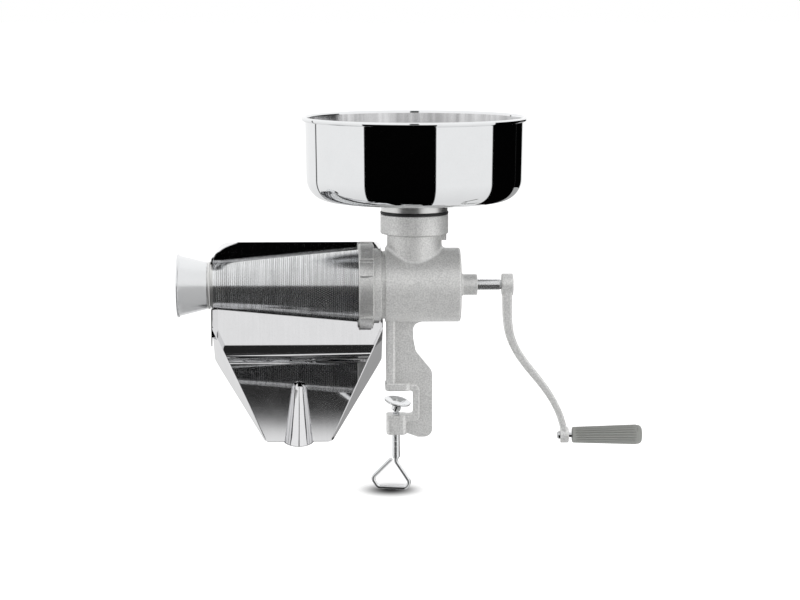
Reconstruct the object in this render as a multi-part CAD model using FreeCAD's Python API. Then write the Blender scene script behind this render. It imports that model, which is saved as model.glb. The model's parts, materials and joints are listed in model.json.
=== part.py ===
import FreeCAD, Part
import math
import os

# Tomato strainer with crank: a cast body clamped to a table edge, a bowl on top, a screw turned by a crank,
# a perforated cone held by a ring nut, a funnel for skins and seeds and a drip tray for the juice.
# Millimetres. +X runs along the crank shaft towards the crank, +Z is up, the viewer of the photograph is at -Y.
# The origin is the middle of the upper jaw's face that rests on the table, on the clamp screw's axis.

Vector = FreeCAD.Vector

# Fits
RUNNING_FIT = 0.05       # radial, a pin or shaft that turns in a bore
LOOSE_FIT = 0.3          # radial, pieces that slide over each other
HANG_FIT = 0.5           # radial, a sheet slot over the ring that carries it

# Barrel of the casting
LEG_HEIGHT = 75.5        # from the table face to the barrel's lowest line
BARREL_FRONT_X = -12.0
BARREL_LENGTH = 82.0
BARREL_R = 40.5
BARREL_WALL = 4.5
REAR_WALL = 8.0
BARREL_EDGE = 2.5        # rounding of the rear edge
FRONT_EDGE = 1.2         # rounding of the front edge
HANG_GROOVE_DEPTH = 3.5  # groove in front of the barrel, where the drip tray hangs
HANG_GROOVE_WIDTH = 4.5
MOUTH_STEP = 0.5         # the plain collar in front of the groove is this much smaller than the barrel
MOUTH_WIDTH = 8.1
THREAD_RISE = 1.5        # and the threaded part this much larger
THREAD_LENGTH = 12.4
MOUTH_EDGE = 1.0
BOSS_RADIUS = 11.5
BOSS_LENGTH = 18.7
BOSS_STEP_RADIUS = 13.2
BOSS_STEP_LENGTH = 2.6

# Inlet of the casting
NECK_X = 20.0
NECK_HEIGHT = 16.3       # from the barrel's highest line to the collar
NECK_RADIUS = 29.8
NECK_WALL = 2.8
COLLAR_RADIUS = 37.0
COLLAR_HEIGHT = 21.2
COLLAR_BORE_DEPTH = 22.5
SADDLE_FILLET = 5.0
COLLAR_LUG_REACH = 35.0  # reach of the small lug under the collar, from the neck's axis
COLLAR_LUG_WIDTH = 4.5
COLLAR_LUG_DROP = 7.0
COLLAR_LUG_TURN = -10.0  # degrees from +X

# Leg and C-clamp of the casting
LEG_LEFT_X = -10.7
FLANGE_WIDTH = 9.7       # stiff edge of the leg, seen from the front
FLANGE_HALF_Y = 13.0
FLANGE_EDGE = 3.0        # rounding of its long edges
WEB_HALF_Y = 6.0
WEB_RIGHT_X = 18.6
JAW_LEFT_X = -12.0
JAW_RIGHT_X = 15.6
JAW_HALF_Y = 14.0
JAW_THICKNESS = 9.0
JAW_CORNER = 6.0
JAW_EDGE = 1.8           # rounding of the edges round the face that rests on the table
JAW_GAP = 27.5
JAW_GAP_CORNER = 3.0
SLOT_BEAD = 7.0          # raised edge round the clamp's opening
SLOT_BEAD_HALF_Y = 10.0
SLOT_BEAD_INSET = 4.0    # where it starts behind the jaw's left end
FRAME_RIGHT_X = 39.6
FRAME_CORNER = 9.0
FRAME_SHOULDER_Z = 20.4
SHOULDER_RISE = 22.0     # height of the slanted shoulder above its lower corner
SHOULDER_TOP_RISE = 38.0 # height where it runs out into the leg
SHOULDER_INSET = 3.0
FRAME_BOTTOM_Z = -52.0
LOWER_BOSS_RIGHT_X = 11.4
LOWER_BOSS_BOTTOM_Z = -49.0
LOWER_BOSS_HALF_Y = 11.5
LOWER_BOSS_CORNER = 5.0
LOWER_BOSS_RUNOUT = 12.0 # length of the slope from the boss to the frame's bottom
LEG_FILLET = 9.0
CAST_EDGE = 1.5
OVERLAP = 3.0            # how far pieces of the casting reach into each other

# Bearing and seal
SHAFT_RADIUS = 6.0
BUSH_WALL = 2.2
BUSH_LENGTH = 22.0
SEAL_R = 12.0
SEAL_WIDTH = 3.0

# Bowl, spigot and gasket
BOWL_R = 117.0
BOWL_FLARE = 1.5
BOWL_HEIGHT = 91.0
BOWL_CORNER_R = 25.0
BOWL_SHEET = 1.0
RIM_WIRE_R = 2.5
SPIGOT_HEIGHT = 15.0     # from the collar's top to the bowl
SPIGOT_STEP = 0.7        # the spigot is this much smaller than the collar
SPIGOT_SHOULDER = 3.3    # width of the shoulder that sits on the gasket
SPIGOT_WALL = 7.3
SPIGOT_FLANGE_WIDTH = 4.7
SPIGOT_FLANGE_SHEET = 1.6
SPIGOT_INSERT = 21.0     # length that stands in the casting's collar
SPIGOT_FIT = 0.25
GASKET_THICKNESS = 3.2
GASKET_BULGE = 0.8

# Shaft, screw and its pin
SHAFT_IN_SCREW = 12.0    # how far the shaft reaches past the barrel's front
SQUARE_SIDE = 9.0
SQUARE_TAPER = 2.5
SQUARE_SETBACK = 1.0     # the shaft's end stands this far inside the hub
AUGER_REAR_GAP = 6.0     # between the screw and the rear wall
AUGER_TIP_GAP = 4.0      # between the end of the flight and the end of the cone
AUGER_CORE_REAR_R = 13.0
AUGER_CORE_TIP_R = 9.0
AUGER_NOSE = 7.0
FLIGHT_PITCH = 36.0
FLIGHT_ROOT = 5.5        # thickness of the flight at the core
FLIGHT_EDGE = 3.0        # thickness of the flight at its edge
FLIGHT_SINK = 3.0        # how far the flight's root lies inside the core
FLIGHT_CLEARANCE = 1.0
PIN_R = 2.5
PIN_INSET = 9.0          # from the screw's rear end
PIN_SETBACK = 0.5        # the pin's ends lie this far below the core

# Crank
SHAFT_BARE = 26.8        # shaft seen between the boss and the hub
HUB_WIDTH = 12.5
HUB_R = 12.0
HUB_EDGE = 1.2
CRANK_THROW = 168.0
ARM_REACH = 66.0         # offset of the eye from the hub, along the shaft
EYE_WIDTH = 9.0
EYE_R = 8.7
EYE_EDGE = 1.0
ARM_TOP_THICKNESS = 10.2
ARM_END_THICKNESS = 6.8
ARM_TOP_WIDTH = 20.0
ARM_END_WIDTH = 14.0
ARM_EDGE = 2.2
# Middle line of the arm: share of the offset along X, share of the throw
ARM_LINE = [(0.0, 0.0), (0.0, 0.17), (0.06, 0.345), (0.287, 0.506),
            (0.612, 0.663), (0.865, 0.82), (1.0, 1.0)]
SET_SCREW_R = 3.0
SET_SCREW_LENGTH = 6.5

# Grip
SPINDLE_R = 2.75
RIVET_HEAD_R = 4.3
RIVET_HEAD = 3.6
GRIP_GAP = 4.2           # bare spindle between the eye and the grip
GRIP_LENGTH = 71.3
GRIP_INNER_R = 8.8
GRIP_OUTER_R = 11.0
GRIP_COLLAR = 3.0        # plain ring at each end of the flutes
GRIP_COLLAR_STEP = 0.4
FLUTES = 22
FLUTE_DEPTH = 0.9
RIDGE_SHARE = 0.45       # part of each step that is ridge
RIDGE_CROWN = 0.15
GRIP_POCKET_R = 5.4
GRIP_POCKET_DEPTH = 9.0
SPINDLE_HEAD_R = 4.6
SPINDLE_HEAD = 2.4
CAP_DOME = 5.7
CAP_PLUG = 3.5

# Clamp screw, its handle and pad
SCREW_R = 4.3
SCREW_TOP_Z = -24.8
SCREW_BOTTOM_Z = -75.0
SCREW_CHAMFER = 0.8
HANDLE_WIRE_R = 2.3
HANDLE_NECK = 3.0        # height of the cone between the rod and the wire
# Corners of the handle's middle line: distance from the rod, height below the rod's end, rounding
HANDLE_CORNERS = [(0.0, 6.0, 4.0), (15.0, 29.0, 5.0), (11.0, 35.4, 5.0),
                  (-20.5, 33.6, 5.0), (-26.5, 24.0, 5.0), (-6.2, 3.8, 0.0)]
BALL_R = 3.4
BALL_Z = -21.0
BALL_STEM_R = 2.2
BALL_STEM_LENGTH = 15.0
SOCKET_WALL = 1.5
SOCKET_DEPTH = 1.6       # how far the socket grips below the ball's middle
PAD_R = 14.8
PAD_SHEET = 1.8
PAD_DISH = 3.8
PAD_TILT = 15.0          # degrees, as it hangs in the photograph
PAD_TILT_DIRECTION = -45.0   # degrees from +X, the way the pad leans

# Cone filter
CONE_STEP = 1.3          # the cone's wide end is this much smaller than the barrel
CONE_SETBACK = 4.0       # from the mouth to where that is measured
CONE_LENGTH = 158.0
CONE_SMALL_R = 23.9
CONE_SHEET = 0.8
FLANGE_RING_STEP = 0.4   # the cone's flange is this much smaller than the thread
FLANGE_RING = 1.0
TIP_BAND_RISE = 0.3
TIP_BAND_LENGTH = 15.0
TIP_BEAD_RISE = 1.8
TIP_BEAD_PLACE = 4.6
TIP_BEAD_HALF = 1.3

# Ring nut
NUT_WALL = 3.0
NUT_LUG_RISE = 2.6
NUT_LIP = 3.0
NUT_LIP_GAP = 0.6
NUT_LUGS = 6
NUT_LUG_ANGLE = 36.0
NUT_LUG_INSET = 1.4
NUT_LUG_EDGE = 0.7
NUT_EDGE = 1.2

# Waste funnel
FUNNEL_GAP = 2.0         # from the middle of the cone's bead
FUNNEL_LENGTH = 31.4
FUNNEL_START_STEP = 1.4  # its small end is this much larger than the cone's band
FUNNEL_FLARE = 7.8
FUNNEL_SHEET = 0.9
FUNNEL_BEAD_R = 1.3
SOCKET_RING_LENGTH = 9.0

# Drip tray: a folded sheet; Y and height are measured from the crank axis
TRAY_LEFT_GAP = 0.5      # past the end of the cone
TRAY_RIGHT_SINK = 3.5    # inside the groove in front of the barrel
TRAY_SHEET = 0.9
TRAY_NUT_GAP = 2.4       # between the ring nut's lugs and the tray's back
TRAY_BACK_LEAN = 3.5     # the back's top edge lies this much further back than its middle
TRAY_FOLD = (35.5, -86.9)    # where the back turns into the chute
TRAY_LIP = (-30.5, -167.3)   # the pouring edge
TRAY_FRONT_Y = -15.0         # front edge of the end walls
TRAY_WALL_LOW = -44.0        # where that edge turns towards the lip
TRAY_WALL_LOW_R = 12.0
TRAY_WALL_TOP_R = 10.0
TRAY_BACK_BEND_R = 250.0
TRAY_FOLD_R = 60.0
TRAY_LEFT_CORNER_R = 16.0    # round upper corners of the back, with the end wall bent round them
TRAY_RIGHT_CORNER_R = 6.0
CORNER_FLANGE = 25.0         # length over which the left wall runs out along the top
CORNER_FLANGE_FRONT = 6.0
RIGHT_FLANGE = 8.0           # the same for the right wall, beside the ring nut
RIGHT_FLANGE_FRONT = 3.0
LIP_LEFT_INSET = 57.5
LIP_RIGHT_INSET = 56.0
LIP_WALL = 4.0
LIP_CORNER_R = 7.0           # round corners of the sheet at the pouring edge
CHUTE_SIDE_R = 8.0
GROOVE_START = 29.0          # from the fold along the chute to the groove's upper end
GROOVE_TOP_HALF = 8.0
GROOVE_TOP_DEPTH = 6.4
GROOVE_LIP_HALF = 15.6
GROOVE_LIP_DEPTH = 12.0
HANGER_TOP = 30.0
HANGER_BOTTOM = -68.0
HANGER_SLOPE = 30.0          # height of its slanted lower edge
HANGER_HALF_WIDTH = 30.0
HANGER_CORNER = 8.0
HANGER_FRONT_CORNER = 6.0
BEYOND = 80.0                # tools for cutting reach this far past what they cut

# Places that follow from the sizes above
AXIS_Z = LEG_HEIGHT + BARREL_R
BORE_R = BARREL_R - BARREL_WALL
HANG_GROOVE_R = BARREL_R - HANG_GROOVE_DEPTH
MOUTH_R = BARREL_R - MOUTH_STEP
THREAD_R = BARREL_R + THREAD_RISE
BARREL_BACK_X = BARREL_FRONT_X + BARREL_LENGTH
MOUTH_RIGHT_X = BARREL_FRONT_X - HANG_GROOVE_WIDTH
MOUTH_LEFT_X = MOUTH_RIGHT_X - MOUTH_WIDTH
THREAD_LEFT_X = MOUTH_LEFT_X - THREAD_LENGTH
BORE_BACK_X = BARREL_BACK_X - REAR_WALL
BOSS_END_X = BARREL_BACK_X + BOSS_LENGTH
COLLAR_BASE_Z = AXIS_Z + BARREL_R + NECK_HEIGHT
COLLAR_TOP_Z = COLLAR_BASE_Z + COLLAR_HEIGHT
COLLAR_FLOOR_Z = COLLAR_TOP_Z - COLLAR_BORE_DEPTH
SPIGOT_BASE_Z = COLLAR_TOP_Z + GASKET_THICKNESS
SPIGOT_R = COLLAR_RADIUS - SPIGOT_STEP
SPIGOT_BORE_R = SPIGOT_R - SPIGOT_WALL
SPIGOT_FLANGE_R = SPIGOT_R + SPIGOT_FLANGE_WIDTH
COLLAR_BORE_R = SPIGOT_R - SPIGOT_SHOULDER
BOWL_BOTTOM_Z = COLLAR_TOP_Z + SPIGOT_HEIGHT
BOWL_TOP_Z = BOWL_BOTTOM_Z + BOWL_HEIGHT
BUSH_R = SHAFT_RADIUS + BUSH_WALL
SHAFT_INNER_X = BARREL_FRONT_X - SHAFT_IN_SCREW
AUGER_REAR_X = BORE_BACK_X - AUGER_REAR_GAP
PIN_X = AUGER_REAR_X - PIN_INSET
HUB_X = BOSS_END_X + SHAFT_BARE
HUB_END_X = HUB_X + HUB_WIDTH
EYE_X = HUB_X + ARM_REACH
EYE_END_X = EYE_X + EYE_WIDTH
CRANK_END_Z = AXIS_Z - CRANK_THROW
GRIP_X = EYE_END_X + GRIP_GAP
GRIP_END_X = GRIP_X + GRIP_LENGTH
SOCKET_R = BALL_R + LOOSE_FIT + SOCKET_WALL
CONE_BIG_X = THREAD_LEFT_X - CONE_SETBACK
CONE_BIG_R = BARREL_R - CONE_STEP
CONE_SMALL_X = CONE_BIG_X - CONE_LENGTH
AUGER_TIP_X = CONE_SMALL_X + AUGER_TIP_GAP
FLANGE_RING_R = THREAD_R - FLANGE_RING_STEP
FLANGE_RING_X = THREAD_LEFT_X - FLANGE_RING
TIP_BAND_R = CONE_SMALL_R + TIP_BAND_RISE
TIP_BAND_END_X = CONE_SMALL_X - TIP_BAND_LENGTH
TIP_BEAD_R = TIP_BAND_R + TIP_BEAD_RISE
TIP_BEAD_X = CONE_SMALL_X - TIP_BEAD_PLACE
NUT_BASE_R = THREAD_R + NUT_WALL
NUT_LUG_R = NUT_BASE_R + NUT_LUG_RISE
NUT_RIGHT_X = MOUTH_LEFT_X
NUT_LEFT_X = FLANGE_RING_X - NUT_LIP
FUNNEL_START_X = TIP_BEAD_X - FUNNEL_GAP
FUNNEL_END_X = FUNNEL_START_X - FUNNEL_LENGTH
FUNNEL_START_R = TIP_BAND_R + FUNNEL_START_STEP
FUNNEL_END_R = FUNNEL_START_R + FUNNEL_FLARE
TRAY_LEFT_X = CONE_SMALL_X - TRAY_LEFT_GAP
TRAY_RIGHT_X = BARREL_FRONT_X - TRAY_RIGHT_SINK
TRAY_TOP = BARREL_R
TRAY_BACK_MID_Y = NUT_LUG_R + TRAY_NUT_GAP
TRAY_BACK_TOP_Y = TRAY_BACK_MID_Y + TRAY_BACK_LEAN
LIP_LEFT_X = TRAY_LEFT_X + LIP_LEFT_INSET
LIP_RIGHT_X = TRAY_RIGHT_X - LIP_RIGHT_INSET


def axis_point(x, radius=0.0):
    """A point at a distance from the crank axis, in the plane y = 0."""
    return Vector(x, 0, AXIS_Z + radius)


def cylinder_x(x0, x1, radius, y=0.0, z=AXIS_Z):
    """A cylinder along X between two places."""
    return Part.makeCylinder(radius, x1 - x0, Vector(x0, y, z), Vector(1, 0, 0))


def cylinder_z(z0, z1, radius, x=0.0, y=0.0):
    """A cylinder along Z between two heights."""
    return Part.makeCylinder(radius, z1 - z0, Vector(x, y, z0), Vector(0, 0, 1))


def rounded_edges(points, closed=True):
    """Straight edges through 3-D points, with an arc at each point that gives a radius: (vector, radius)."""
    count = len(points)
    starts = []
    ends = []
    arcs = []
    for i, (corner, radius) in enumerate(points):
        open_end = not closed and i in (0, count - 1)
        if radius <= 0 or open_end:
            starts.append(corner)
            ends.append(corner)
            arcs.append(None)
            continue
        before = (points[i - 1][0] - corner).normalize()
        after = (points[(i + 1) % count][0] - corner).normalize()
        half = before.getAngle(after) / 2.0
        reach = radius / math.tan(half)
        middle = (before + after).normalize()
        centre = corner + middle * (radius / math.sin(half))
        starts.append(corner + before * reach)
        ends.append(corner + after * reach)
        arcs.append(Part.Arc(starts[i], centre - middle * radius, ends[i]))
    edges = []
    for i in range(count):
        if arcs[i] is not None:
            edges.append(arcs[i].toShape())
        last = i == count - 1
        if last and not closed:
            break
        here = ends[i]
        there = starts[(i + 1) % count]
        if here.distanceToPoint(there) > 1e-6:
            edges.append(Part.LineSegment(here, there).toShape())
    return edges


def rounded_wire(points, closed=True):
    return Part.Wire(Part.__sortEdges__(rounded_edges(points, closed)))


def plate_xz(outline, half_y):
    """A plate of an outline in X and Z, given as (x, z, corner radius), on both sides of y = 0."""
    points = [(Vector(x, -half_y, z), radius) for x, z, radius in outline]
    return Part.Face(rounded_wire(points)).extrude(Vector(0, 2 * half_y, 0))


def revolve_x(outline):
    """A solid of revolution about the crank axis from (x, distance, corner radius)."""
    points = [(axis_point(x, r), radius) for x, r, radius in outline]
    return Part.Face(rounded_wire(points)).revolve(axis_point(0), Vector(1, 0, 0), 360)


def revolve_z(outline, x=NECK_X):
    """A solid of revolution about an upright axis from (distance, z, corner radius)."""
    points = [(Vector(x + r, 0, z), radius) for r, z, radius in outline]
    return Part.Face(rounded_wire(points)).revolve(Vector(x, 0, 0), Vector(0, 0, 1), 360)


def edges_near(shape, test):
    """The edges whose middle point passes a test."""
    found = []
    for edge in shape.Edges:
        if edge.Length < 1e-6:
            continue
        span = edge.ParameterRange
        middle = edge.valueAt((span[0] + span[1]) / 2.0)
        if test(middle, edge):
            found.append(edge)
    return found


def inlet_and_barrel():
    """Barrel with the inlet neck and collar, and the cast fillet where they meet."""
    barrel = cylinder_x(BARREL_FRONT_X - NECK_RADIUS, BARREL_BACK_X, BARREL_R)
    rear = edges_near(barrel, lambda p, e: abs(p.x - BARREL_BACK_X) < 0.1)
    barrel = barrel.makeFillet(BARREL_EDGE, rear)
    neck = cylinder_z(AXIS_Z, COLLAR_BASE_Z, NECK_RADIUS, NECK_X)
    joined = barrel.fuse(neck).removeSplitter()

    def on_seam(point, edge):
        from_neck = math.hypot(point.x - NECK_X, point.y)
        from_axis = math.hypot(point.y, point.z - AXIS_Z)
        return abs(from_neck - NECK_RADIUS) < 0.05 and abs(from_axis - BARREL_R) < 0.05

    joined = joined.makeFillet(SADDLE_FILLET, edges_near(joined, on_seam))
    keep = Part.makeBox(2 * BARREL_LENGTH, 4 * BARREL_R, 6 * BARREL_R,
                        Vector(BARREL_FRONT_X, -2 * BARREL_R, AXIS_Z - 2 * BARREL_R))
    joined = joined.common(keep)
    front = edges_near(joined, lambda p, e: abs(p.x - BARREL_FRONT_X) < 0.01)
    joined = joined.makeFillet(FRONT_EDGE, front)
    collar = revolve_z([
        (0, COLLAR_BASE_Z - OVERLAP, 0),
        (NECK_RADIUS, COLLAR_BASE_Z - OVERLAP, 0),
        (NECK_RADIUS, COLLAR_BASE_Z, CAST_EDGE),
        (COLLAR_RADIUS, COLLAR_BASE_Z, CAST_EDGE),
        (COLLAR_RADIUS, COLLAR_TOP_Z, MOUTH_EDGE),
        (0, COLLAR_TOP_Z, 0),
    ])
    return joined.fuse(collar)


def mouth():
    """Front end of the casting: hanging groove, plain collar and the part that carries the thread."""
    return revolve_x([
        (BARREL_FRONT_X + OVERLAP, 0, 0),
        (BARREL_FRONT_X + OVERLAP, HANG_GROOVE_R, 0),
        (MOUTH_RIGHT_X, HANG_GROOVE_R, 0),
        (MOUTH_RIGHT_X, MOUTH_R, 0.8),
        (MOUTH_LEFT_X, MOUTH_R, 0),
        (MOUTH_LEFT_X, THREAD_R, 0.5),
        (THREAD_LEFT_X, THREAD_R, MOUTH_EDGE),
        (THREAD_LEFT_X, 0, 0),
    ])


def rear_boss():
    """Boss of the rear wall that carries the bush, with its step."""
    return revolve_x([
        (BARREL_BACK_X - OVERLAP, 0, 0),
        (BARREL_BACK_X - OVERLAP, BOSS_STEP_RADIUS, 0),
        (BARREL_BACK_X + BOSS_STEP_LENGTH, BOSS_STEP_RADIUS, MOUTH_EDGE),
        (BARREL_BACK_X + BOSS_STEP_LENGTH, BOSS_RADIUS, MOUTH_EDGE),
        (BOSS_END_X, BOSS_RADIUS, MOUTH_EDGE),
        (BOSS_END_X, 0, 0),
    ])


def leg_web():
    """Web of the leg and of the C, with the slanted shoulder and the rounded lower corner."""
    inside_z = AXIS_Z - BARREL_R + OVERLAP
    left = LEG_LEFT_X + CAST_EDGE
    return plate_xz([
        (left, inside_z, 0),
        (left, 0, 0),
        (WEB_RIGHT_X, 0, JAW_GAP_CORNER),
        (WEB_RIGHT_X, -JAW_GAP, JAW_GAP_CORNER),
        (left, -JAW_GAP, 0),
        (left, LOWER_BOSS_BOTTOM_Z + CAST_EDGE, CAST_EDGE),
        (LOWER_BOSS_RIGHT_X, LOWER_BOSS_BOTTOM_Z + CAST_EDGE, 0),
        (LOWER_BOSS_RIGHT_X + LOWER_BOSS_RUNOUT, FRAME_BOTTOM_Z, FRAME_CORNER),
        (FRAME_RIGHT_X, FRAME_BOTTOM_Z, FRAME_CORNER),
        (FRAME_RIGHT_X, FRAME_SHOULDER_Z, FRAME_CORNER),
        (WEB_RIGHT_X + SHOULDER_INSET, FRAME_SHOULDER_Z + SHOULDER_RISE, LOWER_BOSS_RUNOUT),
        (WEB_RIGHT_X, FRAME_SHOULDER_Z + SHOULDER_TOP_RISE, 2 * FRAME_CORNER),
        (WEB_RIGHT_X, inside_z, 0),
    ], WEB_HALF_Y)


def slot_bead():
    """Raised edge round the opening of the C."""
    start = JAW_LEFT_X + SLOT_BEAD_INSET
    right = WEB_RIGHT_X + SLOT_BEAD
    bead = plate_xz([
        (start, 0, 0),
        (start, SLOT_BEAD, CAST_EDGE),
        (right, SLOT_BEAD, SLOT_BEAD),
        (right, -JAW_GAP - SLOT_BEAD, SLOT_BEAD),
        (start, -JAW_GAP - SLOT_BEAD, CAST_EDGE),
        (start, -JAW_GAP, 0),
        (WEB_RIGHT_X, -JAW_GAP, JAW_GAP_CORNER),
        (WEB_RIGHT_X, 0, JAW_GAP_CORNER),
    ], SLOT_BEAD_HALF_Y)
    return bead.makeFillet(CAST_EDGE, edges_near(bead, lambda p, e: abs(abs(p.y) - SLOT_BEAD_HALF_Y) < 0.01))


def upper_jaw():
    """Foot of the leg that rests on the table, with rounded edges."""
    jaw = Part.makeBox(JAW_RIGHT_X - JAW_LEFT_X, 2 * JAW_HALF_Y, JAW_THICKNESS,
                       Vector(JAW_LEFT_X, -JAW_HALF_Y, 0))
    jaw = jaw.makeFillet(JAW_CORNER, edges_near(jaw, lambda p, e: abs(p.z - JAW_THICKNESS / 2) < 0.1))
    return jaw.makeFillet(JAW_EDGE, edges_near(jaw, lambda p, e: abs(p.z - JAW_THICKNESS / 2) > JAW_THICKNESS / 3))


def lower_boss():
    """Block of the C that carries the clamp screw."""
    boss = Part.makeBox(LOWER_BOSS_RIGHT_X - LEG_LEFT_X, 2 * LOWER_BOSS_HALF_Y, -JAW_GAP - LOWER_BOSS_BOTTOM_Z,
                        Vector(LEG_LEFT_X, -LOWER_BOSS_HALF_Y, LOWER_BOSS_BOTTOM_Z))
    middle_z = (LOWER_BOSS_BOTTOM_Z - JAW_GAP) / 2
    boss = boss.makeFillet(LOWER_BOSS_CORNER, edges_near(boss, lambda p, e: abs(p.z - middle_z) < 0.1))
    return boss.makeFillet(CAST_EDGE, edges_near(boss, lambda p, e: abs(p.z - LOWER_BOSS_BOTTOM_Z) < 0.1))


def leg_flange():
    """Stiff left edge of the leg, with rounded long edges on its right."""
    inside_z = AXIS_Z - BARREL_R + OVERLAP
    right = LEG_LEFT_X + FLANGE_WIDTH
    flange = plate_xz([
        (LEG_LEFT_X, JAW_THICKNESS / 2, 0),
        (right, JAW_THICKNESS / 2, 0),
        (right, inside_z, 0),
        (LEG_LEFT_X, inside_z, 0),
    ], FLANGE_HALF_Y)
    long_edges = edges_near(flange, lambda p, e: abs(abs(p.y) - FLANGE_HALF_Y) < 0.1 and e.Length > LEG_HEIGHT / 2)
    return flange.makeFillet(FLANGE_EDGE, long_edges)


def clamp_frame():
    """Leg and C-shaped clamp: a web with a stiff left edge, jaw, raised slot edge and lower boss."""
    barrel_low = AXIS_Z - BARREL_R
    root = plate_xz([
        (WEB_RIGHT_X - OVERLAP, barrel_low + OVERLAP, 0),
        (WEB_RIGHT_X - OVERLAP, barrel_low - LEG_FILLET, 0),
        (WEB_RIGHT_X, barrel_low - LEG_FILLET, 0),
        (WEB_RIGHT_X, barrel_low, 0.94 * LEG_FILLET),
        (WEB_RIGHT_X + LEG_FILLET, barrel_low, 0),
        (WEB_RIGHT_X + LEG_FILLET, barrel_low + OVERLAP, 0),
    ], WEB_HALF_Y)
    frame = leg_web().fuse([leg_flange(), upper_jaw(), slot_bead(), lower_boss(), root]).removeSplitter()
    gap = Part.makeBox(WEB_RIGHT_X - JAW_GAP_CORNER - JAW_LEFT_X + BEYOND, 2 * BEYOND, JAW_GAP,
                       Vector(JAW_LEFT_X - BEYOND, -BEYOND, -JAW_GAP))
    return frame.cut(gap)


def body_casting():
    """The casting in one piece: inlet, barrel, mouth, rear boss, leg and clamp."""
    solid = inlet_and_barrel().fuse([mouth(), rear_boss(), clamp_frame()]).removeSplitter()
    lug = Part.makeBox(COLLAR_LUG_REACH, COLLAR_LUG_WIDTH, 2 * COLLAR_LUG_DROP,
                       Vector(NECK_X, -COLLAR_LUG_WIDTH / 2, COLLAR_BASE_Z - COLLAR_LUG_DROP))
    lug.rotate(Vector(NECK_X, 0, 0), Vector(0, 0, 1), COLLAR_LUG_TURN)
    solid = solid.fuse(lug)
    hollow = cylinder_x(THREAD_LEFT_X - OVERLAP, BORE_BACK_X, BORE_R)
    throat = cylinder_z(AXIS_Z, COLLAR_TOP_Z, NECK_RADIUS - NECK_WALL, NECK_X)
    seat = cylinder_z(COLLAR_FLOOR_Z, COLLAR_TOP_Z + OVERLAP, COLLAR_BORE_R, NECK_X)
    seal_seat = cylinder_x(BORE_BACK_X - OVERLAP, BORE_BACK_X + SEAL_WIDTH, SEAL_R)
    bush_seat = cylinder_x(BORE_BACK_X, BOSS_END_X + OVERLAP, BUSH_R)
    tapping = cylinder_z(LOWER_BOSS_BOTTOM_Z - OVERLAP, -JAW_GAP + OVERLAP, SCREW_R + RUNNING_FIT)
    return solid.cut([hollow, throat, seat, seal_seat, bush_seat, tapping]).removeSplitter()


def rear_bush():
    """Bronze bush pressed into the rear boss."""
    start = BOSS_END_X - BUSH_LENGTH
    outer = cylinder_x(start, BOSS_END_X, BUSH_R)
    return outer.cut(cylinder_x(start - 1, BOSS_END_X + 1, SHAFT_RADIUS + RUNNING_FIT))


def shaft_seal():
    """Rubber ring that keeps the juice away from the bush."""
    outer = cylinder_x(BORE_BACK_X, BORE_BACK_X + SEAL_WIDTH, SEAL_R)
    return outer.cut(cylinder_x(BORE_BACK_X - 1, BORE_BACK_X + SEAL_WIDTH + 1, SHAFT_RADIUS + RUNNING_FIT))


def hopper_bowl():
    """Spun bowl with a flat bottom, rounded corner and a rolled rim."""
    wall_top = BOWL_TOP_Z - RIM_WIRE_R
    top_r = BOWL_R + BOWL_FLARE
    hole = SPIGOT_BORE_R + BOWL_SHEET
    sheet = revolve_z([
        (hole, BOWL_BOTTOM_Z, 0),
        (BOWL_R, BOWL_BOTTOM_Z, BOWL_CORNER_R),
        (top_r, wall_top, 0),
        (top_r - BOWL_SHEET, wall_top, 0),
        (BOWL_R - BOWL_SHEET, BOWL_BOTTOM_Z + BOWL_SHEET, BOWL_CORNER_R - BOWL_SHEET),
        (hole, BOWL_BOTTOM_Z + BOWL_SHEET, 0),
    ])
    rim_r = top_r - BOWL_SHEET + RIM_WIRE_R
    rim = Part.makeTorus(rim_r, RIM_WIRE_R, Vector(NECK_X, 0, wall_top))
    return sheet.fuse(rim)


def hopper_spigot():
    """Turned neck of the bowl: its flange is welded under the bowl and its insert stands in the collar."""
    insert_r = COLLAR_BORE_R - SPIGOT_FIT
    return revolve_z([
        (SPIGOT_BORE_R, COLLAR_TOP_Z - SPIGOT_INSERT, 0),
        (insert_r, COLLAR_TOP_Z - SPIGOT_INSERT, 1.0),
        (insert_r, SPIGOT_BASE_Z, 0),
        (SPIGOT_R, SPIGOT_BASE_Z, 0.6),
        (SPIGOT_R, BOWL_BOTTOM_Z - SPIGOT_FLANGE_SHEET, 1.5),
        (SPIGOT_FLANGE_R, BOWL_BOTTOM_Z - SPIGOT_FLANGE_SHEET, 0),
        (SPIGOT_FLANGE_R, BOWL_BOTTOM_Z, 0),
        (SPIGOT_BORE_R + BOWL_SHEET, BOWL_BOTTOM_Z, 0),
        (SPIGOT_BORE_R + BOWL_SHEET, BOWL_BOTTOM_Z + BOWL_SHEET, 0),
        (SPIGOT_BORE_R, BOWL_BOTTOM_Z + BOWL_SHEET, 0),
    ])


def spigot_gasket():
    """Rubber ring squeezed between the collar and the spigot's shoulder."""
    inner = COLLAR_BORE_R - SPIGOT_FIT
    return revolve_z([
        (inner, COLLAR_TOP_Z, 0),
        (SPIGOT_R + GASKET_BULGE, COLLAR_TOP_Z, 1.2),
        (SPIGOT_R + GASKET_BULGE, SPIGOT_BASE_Z, 1.2),
        (inner, SPIGOT_BASE_Z, 0),
    ])


def square_bar(x0, x1, side):
    """A square bar along the crank axis."""
    return Part.makeBox(x1 - x0, side, side, Vector(x0, -side / 2, AXIS_Z - side / 2))


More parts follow.
